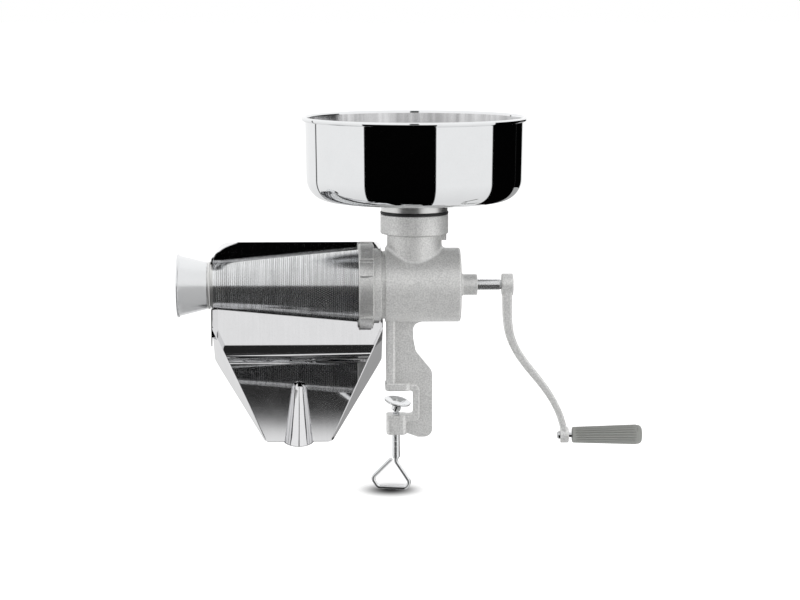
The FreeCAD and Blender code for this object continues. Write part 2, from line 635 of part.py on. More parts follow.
def drive_shaft():
    """Round shaft with a milled square end for the crank."""
    square_start = HUB_X - SQUARE_TAPER
    round_part = cylinder_x(SHAFT_INNER_X, square_start, SHAFT_RADIUS)
    taper = Part.makeCone(SHAFT_RADIUS, SQUARE_SIDE / 2, SQUARE_TAPER, axis_point(square_start), Vector(1, 0, 0))
    end = square_bar(square_start, HUB_END_X - SQUARE_SETBACK, SQUARE_SIDE).common(
        cylinder_x(square_start, HUB_END_X, SHAFT_RADIUS))
    shaft = round_part.fuse([taper, end]).removeSplitter()
    cross = Part.makeCylinder(PIN_R, 4 * SHAFT_RADIUS, Vector(PIN_X, 0, AXIS_Z - 2 * SHAFT_RADIUS), Vector(0, 0, 1))
    return shaft.cut(cross)


def cone_radius(x):
    """Outer radius of the filter cone at a place along the axis."""
    share = (x - CONE_SMALL_X) / (CONE_BIG_X - CONE_SMALL_X)
    return CONE_SMALL_R + share * (CONE_BIG_R - CONE_SMALL_R)


def flight_space():
    """The space that the screw may fill: the barrel's bore, then the inside of the cone."""
    inside = CONE_SHEET + FLIGHT_CLEARANCE
    bore = BORE_R - FLIGHT_CLEARANCE
    meet_x = CONE_BIG_X + (bore - CONE_BIG_R + inside) * (CONE_BIG_X - CONE_SMALL_X) / (CONE_BIG_R - CONE_SMALL_R)
    return revolve_x([
        (AUGER_REAR_X, 0, 0),
        (AUGER_REAR_X, bore, 0),
        (meet_x, bore, 0),
        (AUGER_TIP_X, cone_radius(AUGER_TIP_X) - inside, 0),
        (AUGER_TIP_X, 0, 0),
    ])


def helix_flight():
    """The screw's helical blade, thicker at its root: one piece per turn, each cut to the space it runs in."""
    root_r = AUGER_CORE_TIP_R - FLIGHT_SINK
    edge_r = BORE_R + FLIGHT_CLEARANCE
    turns = math.ceil((AUGER_REAR_X - AUGER_TIP_X) / FLIGHT_PITCH) + 1
    start_x = AUGER_TIP_X - FLIGHT_PITCH / 2
    space = flight_space()
    section = Part.makePolygon([
        Vector(root_r, 0, -FLIGHT_ROOT / 2),
        Vector(edge_r, 0, -FLIGHT_EDGE / 2),
        Vector(edge_r, 0, FLIGHT_EDGE / 2),
        Vector(root_r, 0, FLIGHT_ROOT / 2),
        Vector(root_r, 0, -FLIGHT_ROOT / 2),
    ])
    helix = Part.makeHelix(FLIGHT_PITCH, FLIGHT_PITCH, root_r)
    one_turn = Part.Wire(helix).makePipeShell([Part.Wire(section)], True, True)
    one_turn.rotate(Vector(0, 0, 0), Vector(0, 1, 0), 90)
    blades = []
    for turn in range(turns):
        blade = one_turn.translated(Vector(start_x + turn * FLIGHT_PITCH, 0, AXIS_Z))
        blades.append(blade.common(space))
    return blades


def auger():
    """Screw that presses the tomatoes against the cone: tapered core with one blade."""
    core = revolve_x([
        (AUGER_REAR_X, 0, 0),
        (AUGER_REAR_X, AUGER_CORE_REAR_R, 1.0),
        (THREAD_LEFT_X, AUGER_CORE_REAR_R, 0),
        (AUGER_TIP_X, AUGER_CORE_TIP_R, 0),
        (AUGER_TIP_X - AUGER_NOSE, AUGER_CORE_TIP_R / 3, 1.5),
        (AUGER_TIP_X - AUGER_NOSE, 0, 0),
    ])
    screw = core.fuse(helix_flight()).removeSplitter()
    bore = cylinder_x(SHAFT_INNER_X - 1, AUGER_REAR_X + 1, SHAFT_RADIUS + RUNNING_FIT)
    cross = Part.makeCylinder(PIN_R + RUNNING_FIT, 4 * AUGER_CORE_REAR_R,
                              Vector(PIN_X, 0, AXIS_Z - 2 * AUGER_CORE_REAR_R), Vector(0, 0, 1))
    return screw.cut([bore, cross])


def drive_pin():
    """Cross pin that drives the screw from the shaft."""
    half = AUGER_CORE_REAR_R - PIN_SETBACK
    return Part.makeCylinder(PIN_R - RUNNING_FIT, 2 * half, Vector(PIN_X, 0, AXIS_Z - half), Vector(0, 0, 1))


def arm_side():
    """Side view of the crank arm: straight below the hub, then bent outwards and down again to the eye."""
    hub_mid = HUB_X + HUB_WIDTH / 2
    eye_mid = EYE_X + EYE_WIDTH / 2
    reach = eye_mid - hub_mid
    middle = Part.BSplineCurve()
    middle.interpolate([Vector(hub_mid + out * reach, 0, AXIS_Z - down * CRANK_THROW) for out, down in ARM_LINE])
    steps = 16
    first = middle.FirstParameter
    last = middle.LastParameter
    left = []
    right = []
    for i in range(steps + 1):
        at = first + (last - first) * i / steps
        point = middle.value(at)
        along = middle.tangent(at)[0]
        side = Vector(-along.z, 0, along.x)
        half = (ARM_TOP_THICKNESS + (ARM_END_THICKNESS - ARM_TOP_THICKNESS) * i / steps) / 2
        right.append(point + side * half)
        left.append(point - side * half)
    curves = []
    for row in (left, right):
        curve = Part.BSplineCurve()
        curve.interpolate(row)
        curves.append(curve.toShape())
    ends = [Part.LineSegment(left[i], right[i]).toShape() for i in (0, -1)]
    outline = Part.Wire(Part.__sortEdges__(curves + ends))
    depth = 2 * ARM_TOP_WIDTH
    return Part.Face(outline).extrude(Vector(0, depth, 0)).translated(Vector(0, -depth / 2, 0))


def crank_arm():
    """Cast crank: hub with a square hole, S-shaped arm and an eye for the spindle."""
    top = ARM_TOP_WIDTH / 2
    end = ARM_END_WIDTH / 2
    z0 = AXIS_Z
    z1 = CRANK_END_Z
    front = Part.Face(Part.makePolygon([
        Vector(0, -top, z0), Vector(0, top, z0), Vector(0, end, z1), Vector(0, -end, z1), Vector(0, -top, z0)]))
    arm = arm_side().common(front.extrude(Vector(2 * EYE_X, 0, 0)))
    arm = arm.makeFillet(ARM_EDGE, edges_near(arm, lambda p, e: abs(p.y) > end - 0.5 and e.Length > CRANK_THROW / 2))
    hub = cylinder_x(HUB_X, HUB_END_X, HUB_R)
    hub = hub.makeFillet(HUB_EDGE, edges_near(hub, lambda p, e: e.Length > HUB_R * 6))
    eye = cylinder_x(EYE_X, EYE_END_X, EYE_R, 0, CRANK_END_Z)
    eye = eye.makeFillet(EYE_EDGE, edges_near(eye, lambda p, e: e.Length > EYE_R * 6))
    crank = arm.fuse([hub, eye]).removeSplitter()
    square = square_bar(HUB_X - 1, HUB_END_X + 1, SQUARE_SIDE + 2 * RUNNING_FIT).common(
        cylinder_x(HUB_X - 1, HUB_END_X + 1, SHAFT_RADIUS + RUNNING_FIT))
    hole = cylinder_x(EYE_X - 1, EYE_END_X + 1, SPINDLE_R + RUNNING_FIT, 0, CRANK_END_Z)
    screw_hole = Part.makeCylinder(SET_SCREW_R + RUNNING_FIT, HUB_R + 1,
                                   Vector(HUB_X + HUB_WIDTH / 2, 0, AXIS_Z), Vector(0, 1, 0))
    head_seat = cylinder_x(EYE_X - EYE_WIDTH, EYE_X, RIVET_HEAD_R + LOOSE_FIT, 0, CRANK_END_Z)
    return crank.cut([square, hole, screw_hole, head_seat])


def crank_set_screw():
    """Headless screw at the back of the hub that grips the shaft's square."""
    seat = SQUARE_SIDE / 2 + RUNNING_FIT
    middle = HUB_X + HUB_WIDTH / 2
    screw = Part.makeCylinder(SET_SCREW_R, SET_SCREW_LENGTH, Vector(middle, seat, AXIS_Z), Vector(0, 1, 0))
    key_r = SET_SCREW_R * 0.55
    key = [Vector(middle + key_r * math.cos(math.radians(60 * i)), seat + SET_SCREW_LENGTH / 2,
                  AXIS_Z + key_r * math.sin(math.radians(60 * i))) for i in range(7)]
    return screw.cut(Part.Face(Part.makePolygon(key)).extrude(Vector(0, SET_SCREW_LENGTH, 0)))


def at_grip(shape):
    """Move a solid from the crank axis down to the grip's axis."""
    return shape.translated(Vector(0, 0, -CRANK_THROW))


def grip_spindle():
    """Spindle riveted into the eye, with a collar in the grip's pocket that keeps the grip on."""
    head_end = GRIP_END_X - CAP_PLUG - LOOSE_FIT
    return at_grip(revolve_x([
        (EYE_X - RIVET_HEAD, 0, 0),
        (EYE_X - RIVET_HEAD, RIVET_HEAD_R * 0.75, 1.2),
        (EYE_X - RIVET_HEAD / 2, RIVET_HEAD_R, 1.0),
        (EYE_X, RIVET_HEAD_R, 0),
        (EYE_X, SPINDLE_R, 0),
        (head_end - SPINDLE_HEAD, SPINDLE_R, 0),
        (head_end - SPINDLE_HEAD, SPINDLE_HEAD_R, 0),
        (head_end, SPINDLE_HEAD_R, 0.6),
        (head_end, 0, 0),
    ]))


def fluted_wire(x, radius):
    """Cross-section of the grip: ridges joined by shallow hollows, from arcs."""
    edges = []
    step = 2 * math.pi / FLUTES
    ridge = RIDGE_SHARE * step

    def at(angle, r):
        return Vector(x, r * math.sin(angle), CRANK_END_Z + r * math.cos(angle))

    for i in range(FLUTES):
        a = i * step
        edges.append(Part.Arc(at(a - ridge / 2, radius), at(a, radius + RIDGE_CROWN), at(a + ridge / 2, radius)).toShape())
        hollow = a + step / 2
        edges.append(Part.Arc(at(a + ridge / 2, radius), at(hollow, radius - FLUTE_DEPTH),
                              at(a + step - ridge / 2, radius)).toShape())
    return Part.Wire(edges)


def grip():
    """Moulded handle with lengthwise flutes, thicker at its outer end, free on the spindle."""
    inner_end = GRIP_X + GRIP_COLLAR
    outer_end = GRIP_END_X - GRIP_COLLAR
    body = Part.makeLoft([fluted_wire(inner_end, GRIP_INNER_R), fluted_wire(outer_end, GRIP_OUTER_R)], True, True)
    inner = at_grip(revolve_x([
        (GRIP_X, 0, 0),
        (GRIP_X, GRIP_INNER_R - GRIP_COLLAR_STEP, 1.0),
        (inner_end, GRIP_INNER_R - GRIP_COLLAR_STEP, 0),
        (inner_end, 0, 0),
    ]))
    outer = at_grip(cylinder_x(outer_end, GRIP_END_X, GRIP_OUTER_R - GRIP_COLLAR_STEP))
    solid = body.fuse([inner, outer])
    bore = at_grip(cylinder_x(GRIP_X - 1, GRIP_END_X, SPINDLE_R + 2 * RUNNING_FIT))
    pocket = at_grip(cylinder_x(GRIP_END_X - GRIP_POCKET_DEPTH, GRIP_END_X + 1, GRIP_POCKET_R))
    return solid.cut([bore, pocket])


def grip_cap():
    """Rounded plug that closes the grip's outer end."""
    plug_r = GRIP_POCKET_R - RUNNING_FIT
    outer_r = GRIP_OUTER_R - GRIP_COLLAR_STEP
    return at_grip(revolve_x([
        (GRIP_END_X - CAP_PLUG, 0, 0),
        (GRIP_END_X - CAP_PLUG, plug_r, 0.5),
        (GRIP_END_X, plug_r, 0),
        (GRIP_END_X, outer_r, 0),
        (GRIP_END_X + CAP_DOME, outer_r - GRIP_COLLAR_STEP, CAP_DOME * 0.8),
        (GRIP_END_X + CAP_DOME, 0, 0),
    ]))


def handle_route():
    """Middle line of the bent wire handle below the clamp screw, in the plane y = 0."""
    route = [(Vector(0, 0, SCREW_BOTTOM_Z + HANDLE_NECK), 0)]
    for x, below, radius in HANDLE_CORNERS:
        route.append((Vector(x, 0, SCREW_BOTTOM_Z - below), radius))
    return route


def clamp_screw():
    """Threaded rod with its lower end bent into a triangular handle, and a bore for the pad's stem."""
    rod = cylinder_z(SCREW_BOTTOM_Z, SCREW_TOP_Z, SCREW_R)
    rod = rod.makeChamfer(SCREW_CHAMFER, edges_near(rod, lambda p, e: abs(p.z - SCREW_TOP_Z) < 0.1))
    neck = Part.makeCone(HANDLE_WIRE_R, SCREW_R, HANDLE_NECK, Vector(0, 0, SCREW_BOTTOM_Z - HANDLE_NECK),
                         Vector(0, 0, 1))
    route = handle_route()
    path = rounded_wire(route, closed=False)
    start = route[0][0]
    section = Part.Wire(Part.makeCircle(HANDLE_WIRE_R, start, Vector(0, 0, -1)))
    wire = path.makePipeShell([section], True, False)
    free_end = route[-1][0]
    tip = Part.makeSphere(HANDLE_WIRE_R, free_end)
    screw = rod.fuse([neck, wire, tip])
    bore_bottom = BALL_Z - BALL_R - BALL_STEM_LENGTH - LOOSE_FIT
    return screw.cut(cylinder_z(bore_bottom, SCREW_TOP_Z + OVERLAP, BALL_STEM_R + RUNNING_FIT))


def pad_ball():
    """Ball stud that stands in the screw's end, so that the pad stays still while the screw turns."""
    ball = Part.makeSphere(BALL_R, Vector(0, 0, BALL_Z))
    bottom = BALL_Z - BALL_R - BALL_STEM_LENGTH
    return ball.fuse(cylinder_z(bottom, BALL_Z, BALL_STEM_R))


def clamp_pad():
    """Dished pad with a socket pressed round the ball, tilted as it hangs in the photograph."""
    centre = Vector(0, 0, BALL_Z)
    top = BALL_Z + BALL_R + LOOSE_FIT + PAD_SHEET
    disc = revolve_z([
        (0, top - PAD_SHEET, 0),
        (SOCKET_R, top - PAD_SHEET, 0),
        (PAD_R, top - PAD_SHEET + PAD_DISH, 2.0),
        (PAD_R, top + PAD_DISH, 0.8),
        (PAD_R - PAD_SHEET, top + PAD_DISH, 0.8),
        (SOCKET_R, top, 0),
        (0, top, 0),
    ], 0.0)
    socket = cylinder_z(BALL_Z - SOCKET_DEPTH, top - PAD_SHEET / 2, SOCKET_R)
    hollow = Part.makeSphere(BALL_R + LOOSE_FIT, centre)
    pad = disc.fuse(socket).removeSplitter().cut(hollow)
    lean = math.radians(PAD_TILT_DIRECTION)
    hinge = Vector(-math.sin(lean), math.cos(lean), 0)
    pad.rotate(centre, hinge, PAD_TILT)
    return pad


def cone_filter():
    """Perforated cone; its fine holes are left out here."""
    end_x = THREAD_LEFT_X
    outer = [(end_x, cone_radius(end_x)), (CONE_SMALL_X, CONE_SMALL_R)]
    return revolve_x([
        (outer[0][0], outer[0][1], 0),
        (outer[1][0], outer[1][1], 0),
        (outer[1][0], outer[1][1] - CONE_SHEET, 0),
        (outer[0][0], outer[0][1] - CONE_SHEET, 0),
    ])


def cone_flange():
    """Flat ring welded round the cone's wide end, which the ring nut clamps against the mouth."""
    left = FLANGE_RING_X
    right = THREAD_LEFT_X
    return revolve_x([
        (left, cone_radius(left), 0),
        (left, FLANGE_RING_R, 0),
        (right, FLANGE_RING_R, 0),
        (right, cone_radius(right), 0),
    ])


def cone_tip_band():
    """Plain band at the cone's narrow end, with the bead that stops the funnel."""
    bead_left = TIP_BEAD_X - TIP_BEAD_HALF
    bead_right = TIP_BEAD_X + TIP_BEAD_HALF
    inner = CONE_SMALL_R - CONE_SHEET
    return revolve_x([
        (CONE_SMALL_X, inner, 0),
        (CONE_SMALL_X, TIP_BAND_R, 0),
        (bead_right, TIP_BAND_R, 0),
        (bead_right, TIP_BEAD_R, 1.0),
        (bead_left, TIP_BEAD_R, 1.0),
        (bead_left, TIP_BAND_R, 0),
        (TIP_BAND_END_X, TIP_BAND_R, 0),
        (TIP_BAND_END_X, inner, 0),
    ])


def ring_nut():
    """Ring nut with raised lugs round its edge and a lip that holds the cone's flange."""
    lip_r = cone_radius(NUT_LEFT_X) + NUT_LIP_GAP
    bore_r = THREAD_R + LOOSE_FIT
    nut = revolve_x([
        (NUT_LEFT_X, lip_r, 0),
        (NUT_LEFT_X, NUT_BASE_R, NUT_EDGE),
        (NUT_RIGHT_X, NUT_BASE_R, NUT_EDGE),
        (NUT_RIGHT_X, bore_r, 0),
        (FLANGE_RING_X, bore_r, 0),
        (FLANGE_RING_X, lip_r, 0),
    ])
    left = NUT_LEFT_X + NUT_LUG_INSET
    right = NUT_RIGHT_X - NUT_LUG_INSET / 2
    lugs = []
    for i in range(NUT_LUGS):
        middle = 360.0 / NUT_LUGS * i
        half = NUT_LUG_ANGLE / 2
        section = Part.Face(rounded_wire([
            (axis_point(left, THREAD_R + NUT_WALL / 2), 0),
            (axis_point(left, NUT_LUG_R), NUT_LUG_EDGE),
            (axis_point(right, NUT_LUG_R), NUT_LUG_EDGE),
            (axis_point(right, THREAD_R + NUT_WALL / 2), 0),
        ]))
        lug = section.revolve(axis_point(0), Vector(1, 0, 0), 2 * half)
        lug.rotate(axis_point(0), Vector(1, 0, 0), 90 + middle - half)
        lugs.append(lug)
    return nut.fuse(lugs)


def waste_funnel():
    """Flared spout for skins and seeds, with a rolled edge."""
    outer = [(FUNNEL_START_X, FUNNEL_START_R), (FUNNEL_END_X, FUNNEL_END_R)]
    sheet = revolve_x([
        (outer[0][0], outer[0][1], 0),
        (outer[1][0], outer[1][1], 0),
        (outer[1][0], outer[1][1] - FUNNEL_SHEET, 0),
        (outer[0][0], outer[0][1] - FUNNEL_SHEET, 0),
    ])
    bead = Part.makeTorus(FUNNEL_END_R, FUNNEL_BEAD_R, axis_point(FUNNEL_END_X), Vector(1, 0, 0))
    return sheet.fuse(bead)


def funnel_socket():
    """Sleeve inside the funnel that slides over the cone's tip band."""
    inner = TIP_BAND_R + RUNNING_FIT
    end_x = FUNNEL_START_X - SOCKET_RING_LENGTH
    outer = FUNNEL_START_R - FUNNEL_SHEET
    return revolve_x([
        (FUNNEL_START_X, inner, 0),
        (FUNNEL_START_X, outer, 0),
        (end_x, outer, 0),
        (end_x, inner, 0),
    ])


def tray_section(grow):
    """The tray's inside seen from the end, in Y and height above the crank axis, grown by the sheet.
    The inside itself reaches further forward, so that the end walls keep their own rounded upper corner."""
    chute = Vector(0, TRAY_LIP[0] - TRAY_FOLD[0], TRAY_LIP[1] - TRAY_FOLD[1]).normalize()
    outward = Vector(0, -chute.z, chute.y)
    lip = Vector(0, TRAY_LIP[0], TRAY_LIP[1]) + outward * grow
    fold = Vector(0, TRAY_FOLD[0] + grow, TRAY_FOLD[1]) + outward * grow * 0.5
    lip_top = Vector(0, TRAY_LIP[0], TRAY_LIP[1]) - outward * LIP_WALL
    front_top = Vector(0, TRAY_FRONT_Y - (0 if grow > 0 else BEYOND / 4), TRAY_TOP + grow)
    points = [
        (Vector(0, TRAY_BACK_TOP_Y + grow, TRAY_TOP + grow), 0),
        (Vector(0, TRAY_BACK_MID_Y + grow, 0), TRAY_BACK_BEND_R),
        (fold, TRAY_FOLD_R + grow),
        (lip, 0),
        (lip_top, 0),
        (Vector(0, TRAY_FRONT_Y, TRAY_WALL_LOW), TRAY_WALL_LOW_R),
        (front_top, TRAY_WALL_TOP_R if grow > 0 else 0),
    ]
    raised = [(point + Vector(TRAY_LEFT_X - BEYOND, 0, AXIS_Z), radius) for point, radius in points]
    return Part.Face(rounded_wire(raised)).extrude(Vector(TRAY_RIGHT_X - TRAY_LEFT_X + 2 * BEYOND, 0, 0))


def tray_front(grow):
    """The tray seen from the front: the round upper corners, grown by the sheet."""
    top = AXIS_Z + TRAY_TOP + grow
    low = AXIS_Z + TRAY_LIP[1] - BEYOND
    return plate_xz([
        (TRAY_LEFT_X - grow, low, 0),
        (TRAY_LEFT_X - grow, top, TRAY_LEFT_CORNER_R + grow),
        (TRAY_RIGHT_X + grow, top, TRAY_RIGHT_CORNER_R + grow),
        (TRAY_RIGHT_X + grow, low, 0),
    ], 2 * BEYOND)


def open_top():
    """What is cut from the tray's top: all of it except the walls' run-outs round the upper corners."""
    plan = [
        Vector(TRAY_LEFT_X + CORNER_FLANGE_FRONT, TRAY_FRONT_Y - OVERLAP, 0),
        Vector(TRAY_LEFT_X + CORNER_FLANGE, TRAY_BACK_TOP_Y, 0),
        Vector(TRAY_RIGHT_X - RIGHT_FLANGE, TRAY_BACK_TOP_Y, 0),
        Vector(TRAY_RIGHT_X - RIGHT_FLANGE_FRONT, TRAY_FRONT_Y - OVERLAP, 0),
    ]
    prism = Part.Face(Part.makePolygon(plan + plan[:1])).extrude(Vector(0, 0, 2 * BEYOND))
    prism.translate(Vector(0, 0, AXIS_Z))
    return prism.common(tray_section(0).translated(Vector(0, 0, OVERLAP)))


def chute_point(x, along, above=0.0):
    """A point over the chute: along is measured from the fold down the slope, above is square to the sheet."""
    slope = Vector(0, TRAY_LIP[0] - TRAY_FOLD[0], TRAY_LIP[1] - TRAY_FOLD[1]).normalize()
    normal = Vector(0, slope.z, -slope.y)
    base = Vector(x, TRAY_FOLD[0], TRAY_FOLD[1] + AXIS_Z)
    return base + slope * along + normal * above


def chute_length():
    return math.hypot(TRAY_LIP[0] - TRAY_FOLD[0], TRAY_LIP[1] - TRAY_FOLD[1])


def tray_outline(grow):
    """The tray's inside seen square to the chute: upright end walls that converge to the lip.
    The grown one ends at the lip with round corners, the other runs on past it."""
    length = chute_length()
    side = math.hypot(LIP_LEFT_X - TRAY_LEFT_X, length)
    slip = grow * (side - (LIP_LEFT_X - TRAY_LEFT_X)) / length
    spread = grow * side / length
    past = 0 if grow > 0 else BEYOND / 2
    lip_left = LIP_LEFT_X + past * (LIP_LEFT_X - TRAY_LEFT_X) / length - spread
    lip_right = LIP_RIGHT_X - past * (TRAY_RIGHT_X - LIP_RIGHT_X) / length + spread
    lip_r = LIP_CORNER_R if grow > 0 else 0
    points = [
        (chute_point(TRAY_LEFT_X - grow, -3 * BEYOND, -BEYOND), 0),
        (chute_point(TRAY_LEFT_X - grow, slip, -BEYOND), CHUTE_SIDE_R + grow),
        (chute_point(lip_left, length + past, -BEYOND), lip_r),
        (chute_point(lip_right, length + past, -BEYOND), lip_r),
        (chute_point(TRAY_RIGHT_X + grow, slip, -BEYOND), CHUTE_SIDE_R + grow),
        (chute_point(TRAY_RIGHT_X + grow, -3 * BEYOND, -BEYOND), 0),
    ]
    normal = chute_point(0, 0, 1) - chute_point(0, 0, 0)
    return Part.Face(rounded_wire(points)).extrude(normal * 5 * BEYOND)


def circle_through(half, depth):
    """Radius of the arc over a groove of a half width and depth, and how far its middle lies above the sheet."""
    radius = (half * half + depth * depth) / (2 * depth)
    return radius, radius - depth


def below_chute():
    """Everything under the chute's upper face."""
    corner = chute_point(TRAY_LEFT_X, -BEYOND, -BEYOND)
    slope = chute_point(0, 2 * BEYOND + chute_length()) - chute_point(0, 0)
    width = Vector(TRAY_RIGHT_X - TRAY_LEFT_X, 0, 0)
    face = Part.Face(Part.makePolygon([corner, corner + width, corner + width + slope, corner + slope, corner]))
    normal = chute_point(0, 0, 1) - chute_point(0, 0, 0)
    return face.extrude(normal * BEYOND)


def groove_space(grow):
    """Tapered pouring groove pressed into the chute, with a round upper end."""
    middle = (LIP_LEFT_X + LIP_RIGHT_X) / 2
    top_r, top_up = circle_through(GROOVE_TOP_HALF, GROOVE_TOP_DEPTH)
    end_r, end_up = circle_through(GROOVE_LIP_HALF, GROOVE_LIP_DEPTH)
    beyond = LIP_WALL * 3
    start = chute_point(middle, GROOVE_START + top_r, top_up)
    run = chute_length() - GROOVE_START - top_r
    grade = (end_up - top_up) / run
    swell = (end_r - top_r) / run
    end = chute_point(middle, chute_length() + beyond, end_up + grade * beyond)
    axis = end - start
    cone = Part.makeCone(top_r + grow, end_r + swell * beyond + grow, axis.Length, start, axis)
    return cone.fuse(Part.makeSphere(top_r + grow, start)).common(below_chute())


def lip_trim():
    """Everything past the pouring edge."""
    corner = chute_point(TRAY_LEFT_X, chute_length(), -BEYOND)
    slope = chute_point(0, 1) - chute_point(0, 0)
    normal = chute_point(0, 0, 1) - chute_point(0, 0, 0)
    width = Vector(TRAY_RIGHT_X - TRAY_LEFT_X, 0, 0)
    up = normal * (BEYOND + LIP_WALL - RUNNING_FIT)
    face = Part.Face(Part.makePolygon([corner, corner + width, corner + width + up, corner + up, corner]))
    return face.extrude(slope * BEYOND)


def hanging_slot(x0, x1, radius):
    """A round seat that is open towards the viewer, so that the tray slides off backwards."""
    slot = Part.makeBox(x1 - x0, BEYOND, 2 * radius, Vector(x0, -BEYOND, AXIS_Z - radius))
    return slot.fuse(cylinder_x(x0, x1, radius))


def drip_tray():
    """Folded sheet that catches the juice behind and below the cone and leads it to the lip."""
    outer = tray_section(TRAY_SHEET).common(tray_outline(TRAY_SHEET)).common(tray_front(TRAY_SHEET))
    inner = tray_section(0).common(tray_outline(0)).common(tray_front(0))
    outer = outer.fuse(groove_space(TRAY_SHEET)).cut(lip_trim())
    shell = outer.cut([inner, groove_space(0), open_top()])
    right = hanging_slot(TRAY_RIGHT_X - OVERLAP, TRAY_RIGHT_X + OVERLAP, HANG_GROOVE_R + HANG_FIT)
    left = hanging_slot(TRAY_LEFT_X - OVERLAP, TRAY_LEFT_X + OVERLAP, TIP_BAND_R + HANG_FIT + LOOSE_FIT)
    collar_way = hanging_slot(MOUTH_LEFT_X, MOUTH_RIGHT_X, MOUTH_R + LOOSE_FIT)
    return shell.cut([right, left, collar_way])


def tray_hanger():
    """Flat plate spot-welded to the tray's outer end, with the slot that hangs on the cone's tip."""
    right = TRAY_LEFT_X - TRAY_SHEET
    left = right - TRAY_SHEET
    low = AXIS_Z + HANGER_BOTTOM
    high = AXIS_Z + HANGER_TOP
    points = [
        (Vector(left, TRAY_FRONT_Y, low), HANGER_FRONT_CORNER / 2),
        (Vector(left, HANGER_HALF_WIDTH, low + HANGER_SLOPE), HANGER_CORNER),
        (Vector(left, HANGER_HALF_WIDTH, high), HANGER_CORNER),
        (Vector(left, TRAY_FRONT_Y, high), HANGER_FRONT_CORNER),
    ]
    plate = Part.Face(rounded_wire(points)).extrude(Vector(right - left, 0, 0))
    return plate.cut(hanging_slot(left - 1, right + 1, TIP_BAND_R + HANG_FIT))


PIECES = [
    body_casting, rear_bush, shaft_seal, hopper_bowl, hopper_spigot, spigot_gasket,
    drive_shaft, auger, drive_pin, crank_arm, crank_set_screw, grip_spindle, grip, grip_cap,
    clamp_screw, pad_ball, clamp_pad, cone_filter, cone_flange, cone_tip_band, ring_nut,
    waste_funnel, funnel_socket, drip_tray, tray_hanger,
]

os.makedirs("parts", exist_ok=True)
for make in PIECES:
    shape = make()
    shape.exportStep("parts/%s.step" % make.__name__)
    print("%-16s solids %d volume %.0f valid %s" % (
        make.__name__, len(shape.Solids), shape.Volume, shape.isValid()))
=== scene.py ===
import json
import math

import bmesh
import bpy
from mathutils import Matrix, Vector


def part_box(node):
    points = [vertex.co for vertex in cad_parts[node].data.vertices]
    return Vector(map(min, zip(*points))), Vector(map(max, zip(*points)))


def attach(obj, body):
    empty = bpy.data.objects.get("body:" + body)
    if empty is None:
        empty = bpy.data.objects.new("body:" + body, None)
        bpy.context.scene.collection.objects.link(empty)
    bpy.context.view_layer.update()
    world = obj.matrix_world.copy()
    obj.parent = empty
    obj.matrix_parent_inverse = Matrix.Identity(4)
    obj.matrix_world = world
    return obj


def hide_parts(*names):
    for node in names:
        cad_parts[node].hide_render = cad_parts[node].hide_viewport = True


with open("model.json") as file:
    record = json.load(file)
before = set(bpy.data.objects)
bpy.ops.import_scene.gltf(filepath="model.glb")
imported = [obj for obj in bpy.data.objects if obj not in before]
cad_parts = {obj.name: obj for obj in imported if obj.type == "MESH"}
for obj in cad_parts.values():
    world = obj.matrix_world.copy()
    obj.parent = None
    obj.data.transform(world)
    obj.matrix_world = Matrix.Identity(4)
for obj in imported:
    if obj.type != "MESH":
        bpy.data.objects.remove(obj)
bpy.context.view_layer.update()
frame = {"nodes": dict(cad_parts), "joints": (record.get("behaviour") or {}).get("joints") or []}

bl_info = {
    "name": "Tomato Strainer",
    "version": (1, 0, 0),
    "blender": (4, 5, 0),
    "location": "3D View > Sidebar > Strainer",
    "description": "Finishes a hand-cranked tomato strainer and its studio",
    "category": "Add Mesh",
}

# Places that the frame gives
JOINTS = {joint["name"]: joint for joint in frame["joints"]}
AXIS = Vector(JOINTS["crank_spin"]["pos_m"])
GRIP_AXIS = Vector(JOINTS["grip_spin"]["pos_m"])
BOWL_LOW, BOWL_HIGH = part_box("hopper_bowl")
CONE_LOW, CONE_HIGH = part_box("cone_filter")
GRIP_LOW, GRIP_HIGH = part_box("grip")
SCREW_LOW, SCREW_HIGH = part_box("clamp_screw")
BOWL_X = (BOWL_LOW.x + BOWL_HIGH.x) / 2



def length(name, text, default, low=0.0, high=2.0):
    """A length setting in metres."""
    return bpy.props.FloatProperty(
        name=name, description=text, default=default, min=low, max=high, precision=5,
        unit="LENGTH", subtype="DISTANCE")


def number(name, text, default, low=0.0, high=1.0):
    """A plain number setting."""
    return bpy.props.FloatProperty(
        name=name, description=text, default=default, min=low, max=high, precision=3)


def count(name, text, default, low=1, high=1000):
    """A whole number setting."""
    return bpy.props.IntProperty(name=name, description=text, default=default, min=low, max=high)


def angle(name, text, degrees):
    """An angle setting, kept in radians."""
    return bpy.props.FloatProperty(
        name=name, description=text, default=math.radians(degrees), unit="ROTATION", subtype="ANGLE")


def colour(name, text, default):
    """A colour setting."""
    return bpy.props.FloatVectorProperty(
        name=name, description=text, default=default, min=0.0, max=1.0, size=3, subtype="COLOR")


class BowlSettings(bpy.types.PropertyGroup):
    """Sizes of the spun bowl."""
    radius: length("Radius", "Outer radius of the wall above the corner", 0.117)
    flare: length("Flare", "How far the wall leans out at the rim", 0.0015)
    corner: length("Corner", "Outer radius between bottom and wall", 0.025)
    sheet: length("Sheet", "Thickness of the sheet", 0.001)
    rim: length("Rim", "Radius of the rolled rim", 0.0025)
    hole: length("Hole", "Radius of the hole in the bottom", 0.030)
    segments: count("Segments", "Facets round the bowl", 224, 24, 512)


